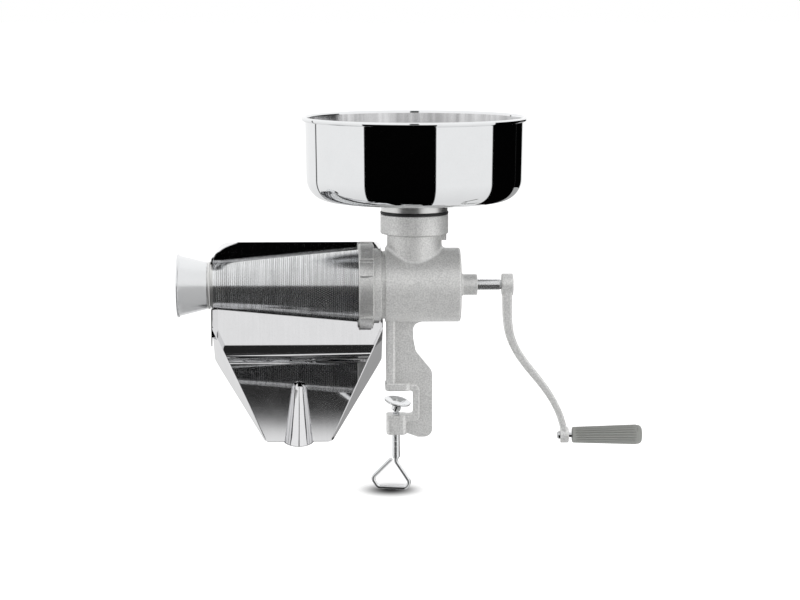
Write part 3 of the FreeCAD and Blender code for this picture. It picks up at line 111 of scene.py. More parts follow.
class ConeSettings(bpy.types.PropertyGroup):
    """Sizes of the perforated cone."""
    columns: count("Columns", "Holes round half of the cone", 55, 8, 120)
    rows: count("Rows", "Rows of holes along the cone", 74, 8, 160)
    hole: length("Hole radius", "Radius of one hole at the wide end", 0.00066)
    sheet: length("Sheet", "Thickness of the perforated sheet", 0.0008)
    big_radius: length("Wide radius", "Outer radius at the ring nut", 0.0389)
    small_radius: length("Narrow radius", "Outer radius at the funnel", 0.0239)


class GripSettings(bpy.types.PropertyGroup):
    """Sizes of the ribbed grip."""
    ribs: count("Ribs", "Ribs round the grip", 22, 6, 60)
    depth: length("Depth", "Depth of the hollows between the ribs", 0.0014)
    inner_radius: length("Inner radius", "Radius at the crank's end", 0.0088)
    outer_radius: length("Outer radius", "Radius at the free end", 0.0110)
    bore: length("Bore", "Radius of the hole for the spindle", 0.0029)


class ThreadSettings(bpy.types.PropertyGroup):
    """Sizes of the threads."""
    screw_pitch: length("Clamp pitch", "Pitch of the clamp screw", 0.0015)
    screw_radius: length("Clamp radius", "Outer radius of the clamp screw", 0.0043)
    screw_low: length("Clamp thread end", "Height where the clamp screw's thread ends", -0.0744, -1.0)
    screw_core: length("Clamp core", "Core radius of the clamp screw", 0.00385)
    mouth_pitch: length("Mouth pitch", "Pitch of the thread under the ring nut", 0.003)
    mouth_radius: length("Mouth radius", "Outer radius of that thread's core", 0.0415)


class FinishSettings(bpy.types.PropertyGroup):
    """Colours and gloss of the finishes."""
    bright: colour("Bright metal", "Polished and plated metal", (0.88, 0.89, 0.90))
    casting: colour("Casting", "Tinned casting with a satin skin", (0.84, 0.84, 0.83))
    sheet: colour("Sheet", "Rolled steel sheet", (0.80, 0.80, 0.81))
    turned: colour("Turned steel", "Shaft, pins and spindle", (0.68, 0.69, 0.70))
    bronze: colour("Bronze", "Bush of the shaft", (0.62, 0.42, 0.22))
    rubber: colour("Rubber", "Gasket and seal", (0.012, 0.012, 0.013))
    screw: colour("Screw", "Plastic of the pressing screw", (0.46, 0.455, 0.43))
    grip: colour("Grip", "Plastic of the grip", (0.29, 0.295, 0.28))
    mirror_roughness: number("Mirror roughness", "Roughness of the polished metal", 0.035)
    cast_roughness: number("Cast roughness", "Roughness of the casting", 0.50)
    sheet_roughness: number("Sheet roughness", "Roughness of the rolled sheet", 0.045)


class StudioSettings(bpy.types.PropertyGroup):
    """Camera, floor and light."""
    camera: bpy.props.FloatVectorProperty(
        name="Camera", description="Place of the camera", default=(-0.0730, -2.4620, 0.4410),
        size=3, unit="LENGTH")
    turn: angle("Turn", "Camera's turn to the right of straight ahead", 1.8)
    tilt: angle("Tilt", "How far the camera looks down", 7.9)
    lens: bpy.props.FloatProperty(
        name="Lens", description="Focal length in mm", default=102.3, min=20, max=400)
    floor: colour("Floor", "Colour of the floor", (0.95, 0.95, 0.95))
    floor_glow: number("Floor glow", "Light the floor gives off, so that it stays white", 0.32)
    # Painted shadow: the shade below the handle is painted into the floor's colour and glow; the lamps don't
    # cast it.
    painted_shade_radius: length("Shade radius", "Reach of the soft shade below the handle", 0.050)
    painted_shade_depth: number("Shade depth", "Darkness of that shade in its middle", 0.97)
    key_power: number("Key power", "Power of the large overhead light", 9.0, 0.0, 500.0)
    side_power: number("Side power", "Power of the soft side light", 4.0, 0.0, 500.0)


# Outlines and meshes

CORNER_STEPS = 14       # steps of a quarter turn round a corner
SHARP_ANGLE = 32.0      # edges that turn by more degrees than this stay sharp


def rounded(points):
    """An open outline of (across, along, corner radius), with an arc at each corner that gives a radius."""
    last = len(points) - 1
    line = []
    for i, (x, y, radius) in enumerate(points):
        corner = Vector((x, y))
        if radius <= 0 or i in (0, last):
            line.append(corner)
            continue
        before = Vector(points[i - 1][:2]) - corner
        after = Vector(points[i + 1][:2]) - corner
        half = before.angle(after) / 2
        before.normalize()
        after.normalize()
        reach = radius / math.tan(half)
        centre = corner + (before + after).normalized() * (radius / math.sin(half))
        start = corner + before * reach - centre
        end = corner + after * reach - centre
        sweep = start.angle_signed(end)
        steps = max(2, round(CORNER_STEPS * abs(sweep) / (math.pi / 2)))
        for step in range(steps + 1):
            turned = start.copy()
            turned.rotate(Matrix.Rotation(-sweep * step / steps, 2))
            line.append(centre + turned)
    return line


def lathe(name, outline, segments, axis, centre, second_from=None):
    """A closed solid of revolution. The outline holds (distance from the axis, place along it).

    Faces from the outline's point number second_from on use the second material.
    """
    mesh = bmesh.new()
    turns = [2 * math.pi * i / segments for i in range(segments)]
    rings = []
    for r, h in outline:
        places = [Vector((r * math.cos(t), r * math.sin(t), h)) for t in turns]
        if axis == "X":
            places = [Vector((p.z, p.x, p.y)) for p in places]
        rings.append([mesh.verts.new(p + centre) for p in places])
    for i, ring in enumerate(rings):
        other = rings[(i + 1) % len(rings)]
        for j in range(segments):
            k = (j + 1) % segments
            face = mesh.faces.new((ring[j], ring[k], other[k], other[j]))
            face.material_index = int(second_from is not None and i >= second_from)
    bmesh.ops.recalc_face_normals(mesh, faces=mesh.faces)
    return finished_object(name, mesh)


def finished_object(name, mesh):
    """Put a bmesh into a new object at the origin, smooth but for its sharp edges."""
    data = bpy.data.meshes.new(name)
    mesh.to_mesh(data)
    mesh.free()
    piece = bpy.data.objects.new(name, data)
    bpy.context.scene.collection.objects.link(piece)
    smooth(piece)
    return piece


def smooth(piece, degrees=SHARP_ANGLE):
    """Smooth shading with sharp edges kept."""
    piece.data.shade_smooth()
    piece.data.set_sharp_from_angle(angle=math.radians(degrees))


def flatten(piece):
    """Turn a piece's modifiers into plain mesh."""
    depsgraph = bpy.context.evaluated_depsgraph_get()
    data = bpy.data.meshes.new_from_object(piece.evaluated_get(depsgraph), depsgraph=depsgraph)
    piece.modifiers.clear()
    piece.data = data
    data.name = piece.name
    return piece


def from_node(node, name, material, degrees=SHARP_ANGLE):
    """A merged, smoothly shaded copy of a CAD node."""
    source = frame["nodes"][node]
    mesh = bmesh.new()
    mesh.from_mesh(source.data)
    bmesh.ops.remove_doubles(mesh, verts=mesh.verts, dist=1e-6)
    bmesh.ops.dissolve_degenerate(mesh, edges=mesh.edges, dist=1e-7)
    bmesh.ops.dissolve_limit(
        mesh, angle_limit=0.0006, verts=mesh.verts, edges=mesh.edges, delimit={"NORMAL"})
    piece = finished_object(name, mesh)
    smooth(piece, degrees)
    piece.data.materials.clear()
    piece.data.materials.append(material)
    weigh = piece.modifiers.new("Weighted normals", "WEIGHTED_NORMAL")
    weigh.keep_sharp = True
    weigh.weight = 100
    return flatten(piece)


def place(piece, body, slot, *nodes):
    """Ride a finished piece on its body and let it stand for CAD nodes."""
    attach(piece, body)
    if nodes:
        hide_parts(*nodes)


def dress(body, node, name, finish, slot, degrees=SHARP_ANGLE):
    """Give a CAD node its finish and place it."""
    place(from_node(node, name, finish_of(finish), degrees), body, slot, node)


# Geometry trees

HOLE_SIDE_ROOM = 0.6    # a hole's middle stays this many holes from the cone's seam
HOLE_END_ROOM = 1.6     # and this many rows from its ends
STAGGER_ROOM = 0.25     # grid points nearer to the seam than this aren't shifted
HOLE_TAPER = 0.65       # share of a hole's radius that shrinks with the cone
MERGE_DISTANCE = 2e-6
RIB_HOLLOW = 1.6        # power of the wave between the ribs; above 1 the hollows are narrower than the ribs
LEAST_RADIUS = 1e-5     # keeps the ribs' division from failing on the axis


def new_tree(name, inputs):
    """A geometry tree with named inputs, given as (name, kind of socket, default)."""
    tree = bpy.data.node_groups.new(name, "GeometryNodeTree")
    tree.is_modifier = True
    tree.interface.new_socket("Geometry", in_out="INPUT", socket_type="NodeSocketGeometry")
    for label, kind, default in inputs:
        socket = tree.interface.new_socket(label, in_out="INPUT", socket_type="NodeSocket" + kind)
        if default is not None:
            socket.default_value = default
    tree.interface.new_socket("Geometry", in_out="OUTPUT", socket_type="NodeSocketGeometry")
    entry = tree.nodes.new("NodeGroupInput")
    exit_node = tree.nodes.new("NodeGroupOutput")
    return tree, entry, exit_node


def add(tree, kind, inputs=None, **settings):
    """A node with its settings and inputs, each a value or another node's output."""
    made = tree.nodes.new(kind)
    for key, value in settings.items():
        setattr(made, key, value)
    for key, value in (inputs or {}).items():
        if isinstance(value, bpy.types.NodeSocket):
            tree.links.new(value, made.inputs[key])
        else:
            made.inputs[key].default_value = value
    return made


def maths(tree, operation, *values):
    """The result of a Math node."""
    return add(tree, "ShaderNodeMath", dict(enumerate(values)), operation=operation).outputs[0]


def vector_maths(tree, operation, *values):
    """The result of a Vector Math node: a number for a length or a distance, else a vector."""
    made = add(tree, "ShaderNodeVectorMath", dict(enumerate(values)), operation=operation)
    return made.outputs["Value" if operation in ("LENGTH", "DISTANCE") else "Vector"]


def close_tree(tree, exit_node, geometry, material):
    """End a tree with Realize Instances and Set Material."""
    real = add(tree, "GeometryNodeRealizeInstances", {"Geometry": geometry})
    painted = add(tree, "GeometryNodeSetMaterial", {"Geometry": real.outputs[0], "Material": material})
    tree.links.new(painted.outputs[0], exit_node.inputs[0])
    return tree


def grow(piece, tree, values, degrees=SHARP_ANGLE):
    """Run a tree on a piece with these inputs and keep the result as plain mesh."""
    modifier = piece.modifiers.new(tree.name, "NODES")
    modifier.node_group = tree
    for item in tree.interface.items_tree:
        if item.in_out == "INPUT" and item.name in values:
            modifier[item.identifier] = values[item.name]
    flatten(piece)
    smooth(piece, degrees)


def empty_piece(name):
    """A piece with no mesh yet."""
    piece = bpy.data.objects.new(name, bpy.data.meshes.new(name))
    bpy.context.scene.collection.objects.link(piece)
    return piece


def perforation_tree():
    """Half of a perforated cone: staggered round holes in a sheet with plain edges."""
    tree, entry, exit_node = new_tree("Perforated half cone", [
        ("Columns", "Int", 55),
        ("Rows", "Int", 74),
        ("Start angle", "Float", 0.0),
        ("Wide place", "Float", 0.0),
        ("Narrow place", "Float", -0.16),
        ("Wide radius", "Float", 0.039),
        ("Narrow radius", "Float", 0.024),
        ("Axis height", "Float", 0.116),
        ("Hole radius", "Float", 0.0005),
        ("Sheet", "Float", 0.0008),
        ("Material", "Material", None),
    ])
    get = entry.outputs
    columns = get["Columns"]
    rows = get["Rows"]
    grid = add(tree, "GeometryNodeMeshGrid", {
        "Size X": columns,
        "Size Y": rows,
        "Vertices X": maths(tree, "ADD", columns, 1.0),
        "Vertices Y": maths(tree, "ADD", rows, 1.0),
    })
    at = add(tree, "ShaderNodeSeparateXYZ", {"Vector": add(tree, "GeometryNodeInputPosition").outputs[0]})
    half_rows = maths(tree, "MULTIPLY", rows, 0.5)
    half_columns = maths(tree, "MULTIPLY", columns, 0.5)
    row = maths(tree, "ROUND", maths(tree, "ADD", at.outputs["Y"], half_rows))
    odd = maths(tree, "MODULO", row, 2.0)
    from_edge = maths(tree, "SUBTRACT", half_columns, maths(tree, "ABSOLUTE", at.outputs["X"]))
    inside = maths(tree, "GREATER_THAN", from_edge, STAGGER_ROOM)
    shift = maths(tree, "MULTIPLY", maths(tree, "SUBTRACT", odd, 0.5), 0.5)
    aside = add(tree, "ShaderNodeCombineXYZ", {"X": maths(tree, "MULTIPLY", shift, inside)})
    staggered = add(tree, "GeometryNodeSetPosition", {
        "Geometry": grid.outputs["Mesh"], "Offset": aside.outputs[0]})
    triangles = add(tree, "GeometryNodeTriangulate", {"Mesh": staggered.outputs[0]})
    cells = add(tree, "GeometryNodeDualMesh", {"Mesh": triangles.outputs[0], "Keep Boundaries": True})

    here = add(tree, "ShaderNodeSeparateXYZ", {"Vector": add(tree, "GeometryNodeInputPosition").outputs[0]})
    side_room = maths(tree, "SUBTRACT", half_columns, maths(tree, "ABSOLUTE", here.outputs["X"]))
    end_room = maths(tree, "SUBTRACT", half_rows, maths(tree, "ABSOLUTE", here.outputs["Y"]))
    clear_of_seam = maths(tree, "GREATER_THAN", side_room, HOLE_SIDE_ROOM)
    clear_of_ends = maths(tree, "GREATER_THAN", end_room, HOLE_END_ROOM)
    has_hole = maths(tree, "MULTIPLY", clear_of_seam, clear_of_ends)
    kept = add(tree, "GeometryNodeCaptureAttribute", domain="FACE")
    kept.capture_items.new("FLOAT", "Hole")
    tree.links.new(cells.outputs[0], kept.inputs["Geometry"])
    tree.links.new(has_hole, kept.inputs["Hole"])

    share = maths(tree, "DIVIDE", maths(tree, "ADD", here.outputs["Y"], half_rows), rows)
    around = maths(tree, "DIVIDE", maths(tree, "ADD", here.outputs["X"], half_columns), columns)
    turn = maths(tree, "ADD", get["Start angle"], maths(tree, "MULTIPLY", around, math.pi))
    radius = add(tree, "ShaderNodeMapRange", {
        "Value": share, "To Min": get["Narrow radius"], "To Max": get["Wide radius"]}).outputs[0]
    along = add(tree, "ShaderNodeMapRange", {
        "Value": share, "To Min": get["Narrow place"], "To Max": get["Wide place"]}).outputs[0]
    place_on_cone = add(tree, "ShaderNodeCombineXYZ", {
        "X": along,
        "Y": maths(tree, "MULTIPLY", radius, maths(tree, "COSINE", turn)),
        "Z": maths(tree, "MULTIPLY_ADD", radius, maths(tree, "SINE", turn), get["Axis height"]),
    })
    wrapped = add(tree, "GeometryNodeSetPosition", {
        "Geometry": kept.outputs["Geometry"], "Position": place_on_cone.outputs[0]})

    middle = add(tree, "GeometryNodeCaptureAttribute", domain="FACE")
    middle.capture_items.new("VECTOR", "Middle")
    tree.links.new(wrapped.outputs[0], middle.inputs["Geometry"])
    tree.links.new(add(tree, "GeometryNodeInputPosition").outputs[0], middle.inputs["Middle"])
    punched = add(tree, "GeometryNodeExtrudeMesh", {
        "Mesh": middle.outputs["Geometry"],
        "Selection": kept.outputs["Hole"],
        "Offset Scale": 0.0,
        "Individual": True,
    }, mode="FACES")
    rim_point = add(tree, "GeometryNodeInputPosition").outputs[0]
    spoke = vector_maths(tree, "SUBTRACT", rim_point, middle.outputs["Middle"])
    ray = vector_maths(tree, "NORMALIZE", spoke)
    spot = add(tree, "ShaderNodeSeparateXYZ", {"Vector": middle.outputs["Middle"]})
    off_axis = add(tree, "ShaderNodeCombineXYZ", {
        "Y": spot.outputs["Y"], "Z": maths(tree, "SUBTRACT", spot.outputs["Z"], get["Axis height"])})
    local = vector_maths(tree, "LENGTH", off_axis.outputs[0])
    taper = maths(tree, "MULTIPLY_ADD", maths(tree, "DIVIDE", local, get["Wide radius"]),
                   HOLE_TAPER, 1 - HOLE_TAPER)
    hole = maths(tree, "MULTIPLY", get["Hole radius"], taper)
    reach = add(tree, "ShaderNodeVectorMath", {0: ray, "Scale": hole}, operation="SCALE")
    edge = vector_maths(tree, "ADD", middle.outputs["Middle"], reach.outputs[0])
    rounded_holes = add(tree, "GeometryNodeSetPosition", {
        "Geometry": punched.outputs["Mesh"],
        "Selection": punched.outputs["Top"],
        "Position": edge,
    })
    opened = add(tree, "GeometryNodeDeleteGeometry", {
        "Geometry": rounded_holes.outputs[0], "Selection": punched.outputs["Top"]}, domain="FACE", mode="ALL")

    thick = add(tree, "GeometryNodeExtrudeMesh", {
        "Mesh": opened.outputs[0],
        "Offset Scale": maths(tree, "MULTIPLY", get["Sheet"], -1.0),
        "Individual": False,
    }, mode="FACES")
    joined = add(tree, "GeometryNodeJoinGeometry")
    tree.links.new(thick.outputs["Mesh"], joined.inputs[0])
    tree.links.new(opened.outputs[0], joined.inputs[0])
    merged = add(tree, "GeometryNodeMergeByDistance", {
        "Geometry": joined.outputs[0], "Distance": MERGE_DISTANCE})
    return close_tree(tree, exit_node, merged.outputs[0], get["Material"])


def thread_tree():
    """A thread's ridge, wound round Z from height 0, added to the piece it is run on."""
    tree, entry, exit_node = new_tree("Thread", [
        ("Radius", "Float", 0.004),
        ("Pitch", "Float", 0.0015),
        ("Turns", "Float", 10.0),
        ("Ridge", "Float", 0.0004),
        ("Steps", "Int", 24),
        ("Along X", "Float", 0.0),
        ("Start", "Vector", (0.0, 0.0, 0.0)),
        ("Material", "Material", None),
    ])
    get = entry.outputs
    line = add(tree, "GeometryNodeCurveSpiral", {
        "Resolution": get["Steps"],
        "Rotations": get["Turns"],
        "Start Radius": get["Radius"],
        "End Radius": get["Radius"],
        "Height": maths(tree, "MULTIPLY", get["Turns"], get["Pitch"]),
    })
    ridge = add(tree, "GeometryNodeCurvePrimitiveCircle", {"Resolution": 4, "Radius": get["Ridge"]})
    wound = add(tree, "GeometryNodeCurveToMesh", {
        "Curve": line.outputs[0], "Profile Curve": ridge.outputs[0], "Fill Caps": True})
    lean = add(tree, "ShaderNodeCombineXYZ", {"Y": maths(tree, "MULTIPLY", get["Along X"], math.pi / 2)})
    moved = add(tree, "GeometryNodeTransform", {
        "Geometry": wound.outputs[0], "Rotation": lean.outputs[0], "Translation": get["Start"]})
    joined = add(tree, "GeometryNodeJoinGeometry")
    tree.links.new(moved.outputs[0], joined.inputs[0])
    tree.links.new(get["Geometry"], joined.inputs[0])
    return close_tree(tree, exit_node, joined.outputs[0], get["Material"])


def rib_tree():
    """Lengthwise ribs pressed into a turned body along X."""
    tree, entry, exit_node = new_tree("Grip ribs", [
        ("Ribs", "Int", 22),
        ("Depth", "Float", 0.001),
        ("Low end", "Float", 0.0),
        ("High end", "Float", 0.07),
        ("Run out", "Float", 0.004),
        ("Least radius", "Float", 0.007),
        ("Axis height", "Float", 0.0),
        ("Material", "Material", None),
    ])
    get = entry.outputs
    at = add(tree, "ShaderNodeSeparateXYZ", {"Vector": add(tree, "GeometryNodeInputPosition").outputs[0]})
    up = maths(tree, "SUBTRACT", at.outputs["Z"], get["Axis height"])
    turn = maths(tree, "ARCTAN2", up, at.outputs["Y"])
    wave = maths(tree, "COSINE", maths(tree, "MULTIPLY", turn, get["Ribs"]))
    hollow = maths(tree, "POWER", maths(tree, "MULTIPLY_ADD", wave, -0.5, 0.5), RIB_HOLLOW)
    from_low = maths(tree, "SUBTRACT", at.outputs["X"], get["Low end"])
    from_high = maths(tree, "SUBTRACT", get["High end"], at.outputs["X"])
    room = maths(tree, "DIVIDE", maths(tree, "MINIMUM", from_low, from_high), get["Run out"])
    fade = add(tree, "ShaderNodeMapRange", {"Value": room}, interpolation_type="SMOOTHSTEP").outputs[0]
    distance = add(tree, "ShaderNodeCombineXYZ", {"X": at.outputs["Y"], "Y": up})
    radius = vector_maths(tree, "LENGTH", distance.outputs[0])
    outside = maths(tree, "GREATER_THAN", radius, get["Least radius"])
    deep = maths(tree, "MULTIPLY", hollow, get["Depth"])
    inward = maths(tree, "MULTIPLY", deep, maths(tree, "MULTIPLY", fade, outside))
    pull = maths(tree, "DIVIDE", inward, maths(tree, "MAXIMUM", radius, LEAST_RADIUS))
    back = maths(tree, "MULTIPLY", pull, -1.0)
    offset = add(tree, "ShaderNodeCombineXYZ", {
        "Y": maths(tree, "MULTIPLY", at.outputs["Y"], back), "Z": maths(tree, "MULTIPLY", up, back)})
    pressed = add(tree, "GeometryNodeSetPosition", {
        "Geometry": get["Geometry"], "Offset": offset.outputs[0]})
    return close_tree(tree, exit_node, pressed.outputs[0], get["Material"])


# Finishes

FINE_SCALE = 14.0       # the fine marks are this many times smaller than the cloudy ones
FINE_SHARE = 0.35
LEAST_ROUGHNESS = 0.02
STREAK_LOW = 0.36       # heights of the tool lines between which the streaks run
STREAK_HIGH = 0.64
PLASTIC_DARK = 0.82     # the darker tone of a plastic, as a share of its colour

# Sockets that a Mix node uses for colours
MIX_FACTOR = 0
MIX_LOW = 6
MIX_HIGH = 7
MIX_RESULT = 2


def new_group(name, inputs, outputs):
    """A shader node group with named inputs (name, kind, default) and outputs (name, kind)."""
    tree = bpy.data.node_groups.new(name, "ShaderNodeTree")
    for label, kind, default in inputs:
        socket = tree.interface.new_socket(label, in_out="INPUT", socket_type="NodeSocket" + kind)
        socket.default_value = default
    for label, kind in outputs:
        tree.interface.new_socket(label, in_out="OUTPUT", socket_type="NodeSocket" + kind)
    return tree, tree.nodes.new("NodeGroupInput"), tree.nodes.new("NodeGroupOutput")


def marks_group():
    """Uneven gloss and fine marks from handling and polishing."""
    name = "Handling marks"
    if name in bpy.data.node_groups:
        return bpy.data.node_groups[name]
    tree, entry, exit_node = new_group(name, [
        ("Vector", "Vector", (0, 0, 0)),
        ("Roughness", "Float", 0.1),
        ("Spread", "Float", 0.04),
        ("Scale", "Float", 60.0),
    ], [("Roughness", "Float"), ("Tone", "Float")])
    get = entry.outputs
    cloud = add(tree, "ShaderNodeTexNoise", {
        "Vector": get["Vector"], "Scale": get["Scale"], "Detail": 5.0, "Roughness": 0.6})
    fine = add(tree, "ShaderNodeTexNoise", {
        "Vector": get["Vector"], "Scale": maths(tree, "MULTIPLY", get["Scale"], FINE_SCALE), "Detail": 3.0})
    cloudy = maths(tree, "MULTIPLY", cloud.outputs["Fac"], 1 - FINE_SHARE)
    both = maths(tree, "MULTIPLY_ADD", fine.outputs["Fac"], FINE_SHARE, cloudy)
    swing = maths(tree, "MULTIPLY", maths(tree, "SUBTRACT", both, 0.5), get["Spread"])
    level = maths(tree, "MULTIPLY_ADD", swing, 2.0, get["Roughness"])
    tree.links.new(maths(tree, "MAXIMUM", level, LEAST_ROUGHNESS), exit_node.inputs["Roughness"])
    tree.links.new(both, exit_node.inputs["Tone"])
    return tree


def lines_group():
    """Fine parallel lines that a brush, a wheel or a lathe tool leaves."""
    name = "Tool lines"
    if name in bpy.data.node_groups:
        return bpy.data.node_groups[name]
    tree, entry, exit_node = new_group(name, [
        ("Vector", "Vector", (0, 0, 0)),
        ("Across", "Vector", (40, 40, 2000)),
    ], [("Height", "Float")])
    get = entry.outputs
    drawn = vector_maths(tree, "MULTIPLY", get["Vector"], get["Across"])
    coarse = add(tree, "ShaderNodeTexNoise", {"Vector": drawn, "Scale": 1.0, "Detail": 4.0})
    tree.links.new(coarse.outputs["Fac"], exit_node.inputs["Height"])
    return tree


def new_material(name):
    """A material with its Principled shader and object coordinates."""
    material = bpy.data.materials.new(name)
    material.use_nodes = True
    tree = material.node_tree
    shader = tree.nodes["Principled BSDF"]
    return material, tree, shader, add(tree, "ShaderNodeTexCoord").outputs["Object"]


def blend(tree, factor, low, high):
    """A colour between two, by a factor. Each is a colour with its alpha, or another node's output."""
    inputs = {MIX_FACTOR: factor, MIX_LOW: low, MIX_HIGH: high}
    return add(tree, "ShaderNodeMix", inputs, data_type="RGBA").outputs[MIX_RESULT]


def toned(tree, base, dark, factor):
    """A colour between a darker share of itself and itself, by a factor."""
    darker = tuple(c * dark for c in base)
    return blend(tree, factor, (*darker, 1.0), (*base, 1.0))


def bump(tree, height, distance, normal=None):
    """A normal bent by a height, over another one where it is given."""
    inputs = {"Height": height, "Strength": 1.0, "Distance": distance}
    if normal is not None:
        inputs["Normal"] = normal
    return add(tree, "ShaderNodeBump", inputs).outputs["Normal"]


def add_marks(tree, here, roughness, spread, scale):
    """The handling marks with a material's own values."""
    return add(tree, "ShaderNodeGroup", {
        "Vector": here, "Roughness": roughness, "Spread": spread, "Scale": scale}, node_tree=marks_group())


def metal(name, base, roughness, spread, mark_scale, across, line_depth,
          skin_scale=0.0, skin_depth=0.0, dark=0.9, streak=0.0, bare=1.0, spun=0.0):
    """A metal with uneven gloss, tool lines and, on a casting, a slightly uneven skin."""
    material, tree, shader, here = new_material(name)
    marks = add_marks(tree, here, roughness, spread, mark_scale)
    lines = add(tree, "ShaderNodeGroup", {"Vector": here, "Across": across}, node_tree=lines_group())
    normal = bump(tree, lines.outputs["Height"], line_depth)
    if skin_scale > 0:
        skin = add(tree, "ShaderNodeTexNoise", {"Vector": here, "Scale": skin_scale, "Detail": 2.0})
        normal = bump(tree, skin.outputs["Fac"], skin_depth, normal)
    tree.links.new(normal, shader.inputs["Normal"])
    tree.links.new(marks.outputs["Roughness"], shader.inputs["Roughness"])
    tone = marks.outputs["Tone"]
    if streak > 0:
        drawn = add(tree, "ShaderNodeMapRange", {
            "Value": lines.outputs["Height"],
            "From Min": STREAK_LOW,
            "From Max": STREAK_HIGH,
            "To Min": -streak,
            "To Max": streak,
        })
        tone = maths(tree, "ADD", tone, drawn.outputs[0])
    tree.links.new(toned(tree, base, dark, tone), shader.inputs["Base Color"])
    shader.inputs["Metallic"].default_value = bare
    if spun > 0:
        along = add(tree, "ShaderNodeCombineXYZ", {"X": 1.0})
        tree.links.new(along.outputs[0], shader.inputs["Tangent"])
        shader.inputs["Anisotropic"].default_value = spun
    return material


def plastic(name, base, roughness, grain_scale, grain_depth, gloss=0.5):
    """A moulded plastic or rubber with a fine grain."""
    material, tree, shader, here = new_material(name)
    marks = add_marks(tree, here, roughness, spread=0.08, scale=120.0)
    shader.inputs["Specular IOR Level"].default_value = gloss
    grain = add(tree, "ShaderNodeTexNoise", {"Vector": here, "Scale": grain_scale, "Detail": 2.0})
    tree.links.new(bump(tree, grain.outputs["Fac"], grain_depth), shader.inputs["Normal"])
    tree.links.new(marks.outputs["Roughness"], shader.inputs["Roughness"])
    tree.links.new(toned(tree, base, PLASTIC_DARK, marks.outputs["Tone"]), shader.inputs["Base Color"])
    return material


# What each finish is made from. A word instead of a number or colour names the setting that holds it.
METALS = {
    "mirror_steel": dict(
        base="bright", roughness="mirror_roughness", spread=0.010, mark_scale=40.0,
        across=(6, 6, 900), line_depth=0.8e-6),
    "brushed_bowl": dict(
        base="sheet", roughness=0.18, spread=0.04, mark_scale=40.0, across=(110, 110, 3), line_depth=1.0e-4,
        dark=0.60, streak=0.35, bare=0.93),
    "satin_casting": dict(
        base="casting", roughness="cast_roughness", spread=0.07, mark_scale=90.0, across=(640, 640, 640),
        line_depth=1.2e-4, skin_scale=160.0, skin_depth=1.4e-4, dark=0.76, streak=0.5, bare=0.62),
    "satin_nut": dict(
        base="casting", roughness=0.40, spread=0.06, mark_scale=90.0, across=(700, 700, 700),
        line_depth=7e-5, skin_scale=160.0, skin_depth=1.0e-4, dark=0.72, streak=0.4, bare=0.82),
    "satin_steel": dict(
        base="casting", roughness=0.34, spread=0.05, mark_scale=90.0, across=(40, 40, 1600),
        line_depth=4e-6, bare=0.95),
    "plated_steel": dict(
        base="bright", roughness=0.10, spread=0.03, mark_scale=80.0, across=(900, 40, 40), line_depth=1.5e-6),
    "spun_funnel": dict(
        base="bright", roughness=0.30, spread=0.04, mark_scale=70.0, across=(1600, 30, 30),
        line_depth=4e-6, spun=0.85),
    "plated_rod": dict(
        base="bright", roughness=0.22, spread=0.04, mark_scale=200.0, across=(300, 300, 600),
        line_depth=2e-6, bare=0.93),
    "perforated_steel": dict(
        base="bright", roughness=0.23, spread=0.05, mark_scale=120.0, across=(420, 14, 14), line_depth=6e-6,
        dark=0.70, streak=0.35, bare=0.95, spun=0.5),
    "rolled_sheet": dict(
        base="sheet", roughness="sheet_roughness", spread=0.02, mark_scale=35.0, across=(500, 14, 14),
        line_depth=0.6e-6, dark=0.86, streak=0.06),
    "polished_shaft": dict(
        base="bright", roughness=0.24, spread=0.03, mark_scale=150.0, across=(900, 40, 40),
        line_depth=1e-6, bare=0.92),
    "turned_steel": dict(
        base="turned", roughness=0.22, spread=0.04, mark_scale=150.0, across=(2500, 40, 40), line_depth=3e-6),
    "bush_bronze": dict(
        base="bronze", roughness=0.3, spread=0.05, mark_scale=200.0, across=(2500, 60, 60), line_depth=3e-6),
}
PLASTICS = {
    "black_rubber": dict(base="rubber", roughness=0.55, grain_scale=900.0, grain_depth=1.5e-5),
    "screw_plastic": dict(base="screw", roughness=0.38, grain_scale=500.0, grain_depth=1.0e-5),
    "grip_plastic": dict(base="grip", roughness=0.46, grain_scale=1400.0, grain_depth=2.0e-5, gloss=0.25),
}


def finish_of(kind):
    """The named finish, made when it is first asked for."""
    name = "finish_" + kind
    if name in bpy.data.materials:
        return bpy.data.materials[name]
    looks = bpy.context.scene.strainer_finish
    make, table = (metal, METALS) if kind in METALS else (plastic, PLASTICS)
    values = dict(table[kind])
    for key in ("base", "roughness"):
        if isinstance(values[key], str):
            values[key] = getattr(looks, values[key])
    return make(name, **values)


# The pieces

# The bowl's rolled rim: its arc in degrees and steps, and where the wall meets it in shares of its radius
ROLL_START = -150
ROLL_SWEEP = 300
ROLL_STEPS = 20
ROLL_OUTSIDE = 0.8
ROLL_INSIDE = 0.2

# Threads: half the ridge's width, steps of one turn and bare stretches at the ends
MOUTH_RIDGE = 0.0007
MOUTH_STEPS = 96
MOUTH_BARE = 0.0015
SCREW_RIDGE = 0.0004
SCREW_STEPS = 28
SCREW_BARE = 0.001
SCREW_RISE = 0.0001     # the ridge's middle stands this far off the core
SCREW_SKIN = 0.0003     # points this close to the outer radius are the rod's wall, taken in to the core

# The grip: its edges at the crank's end (nose) and at the free end (shoulder), and the seat of its cap
NOSE_LENGTH = 0.0016
NOSE_ROUND = 0.0005
NOSE_STEP = 0.0012
EDGE_STEP = 0.0004
SHOULDER_LENGTH = 0.0008
CAP_RADIUS = 0.0054
CAP_DEPTH = 0.009

# The grip's ribs: steps along it, facets across each rib, how near they come to the free end, how long they
# run out at both ends, the least radius they are pressed into, and the angle that stays sharp there
GRIP_STEPS = 40
RIB_FACETS = 10
RIB_END = 0.0006
RIB_RUN_OUT = 0.003
RIB_LEAST_RADIUS = 0.0070
RIB_SHARP_ANGLE = 50.0

TRAY_SHARP_ANGLE = 28.0


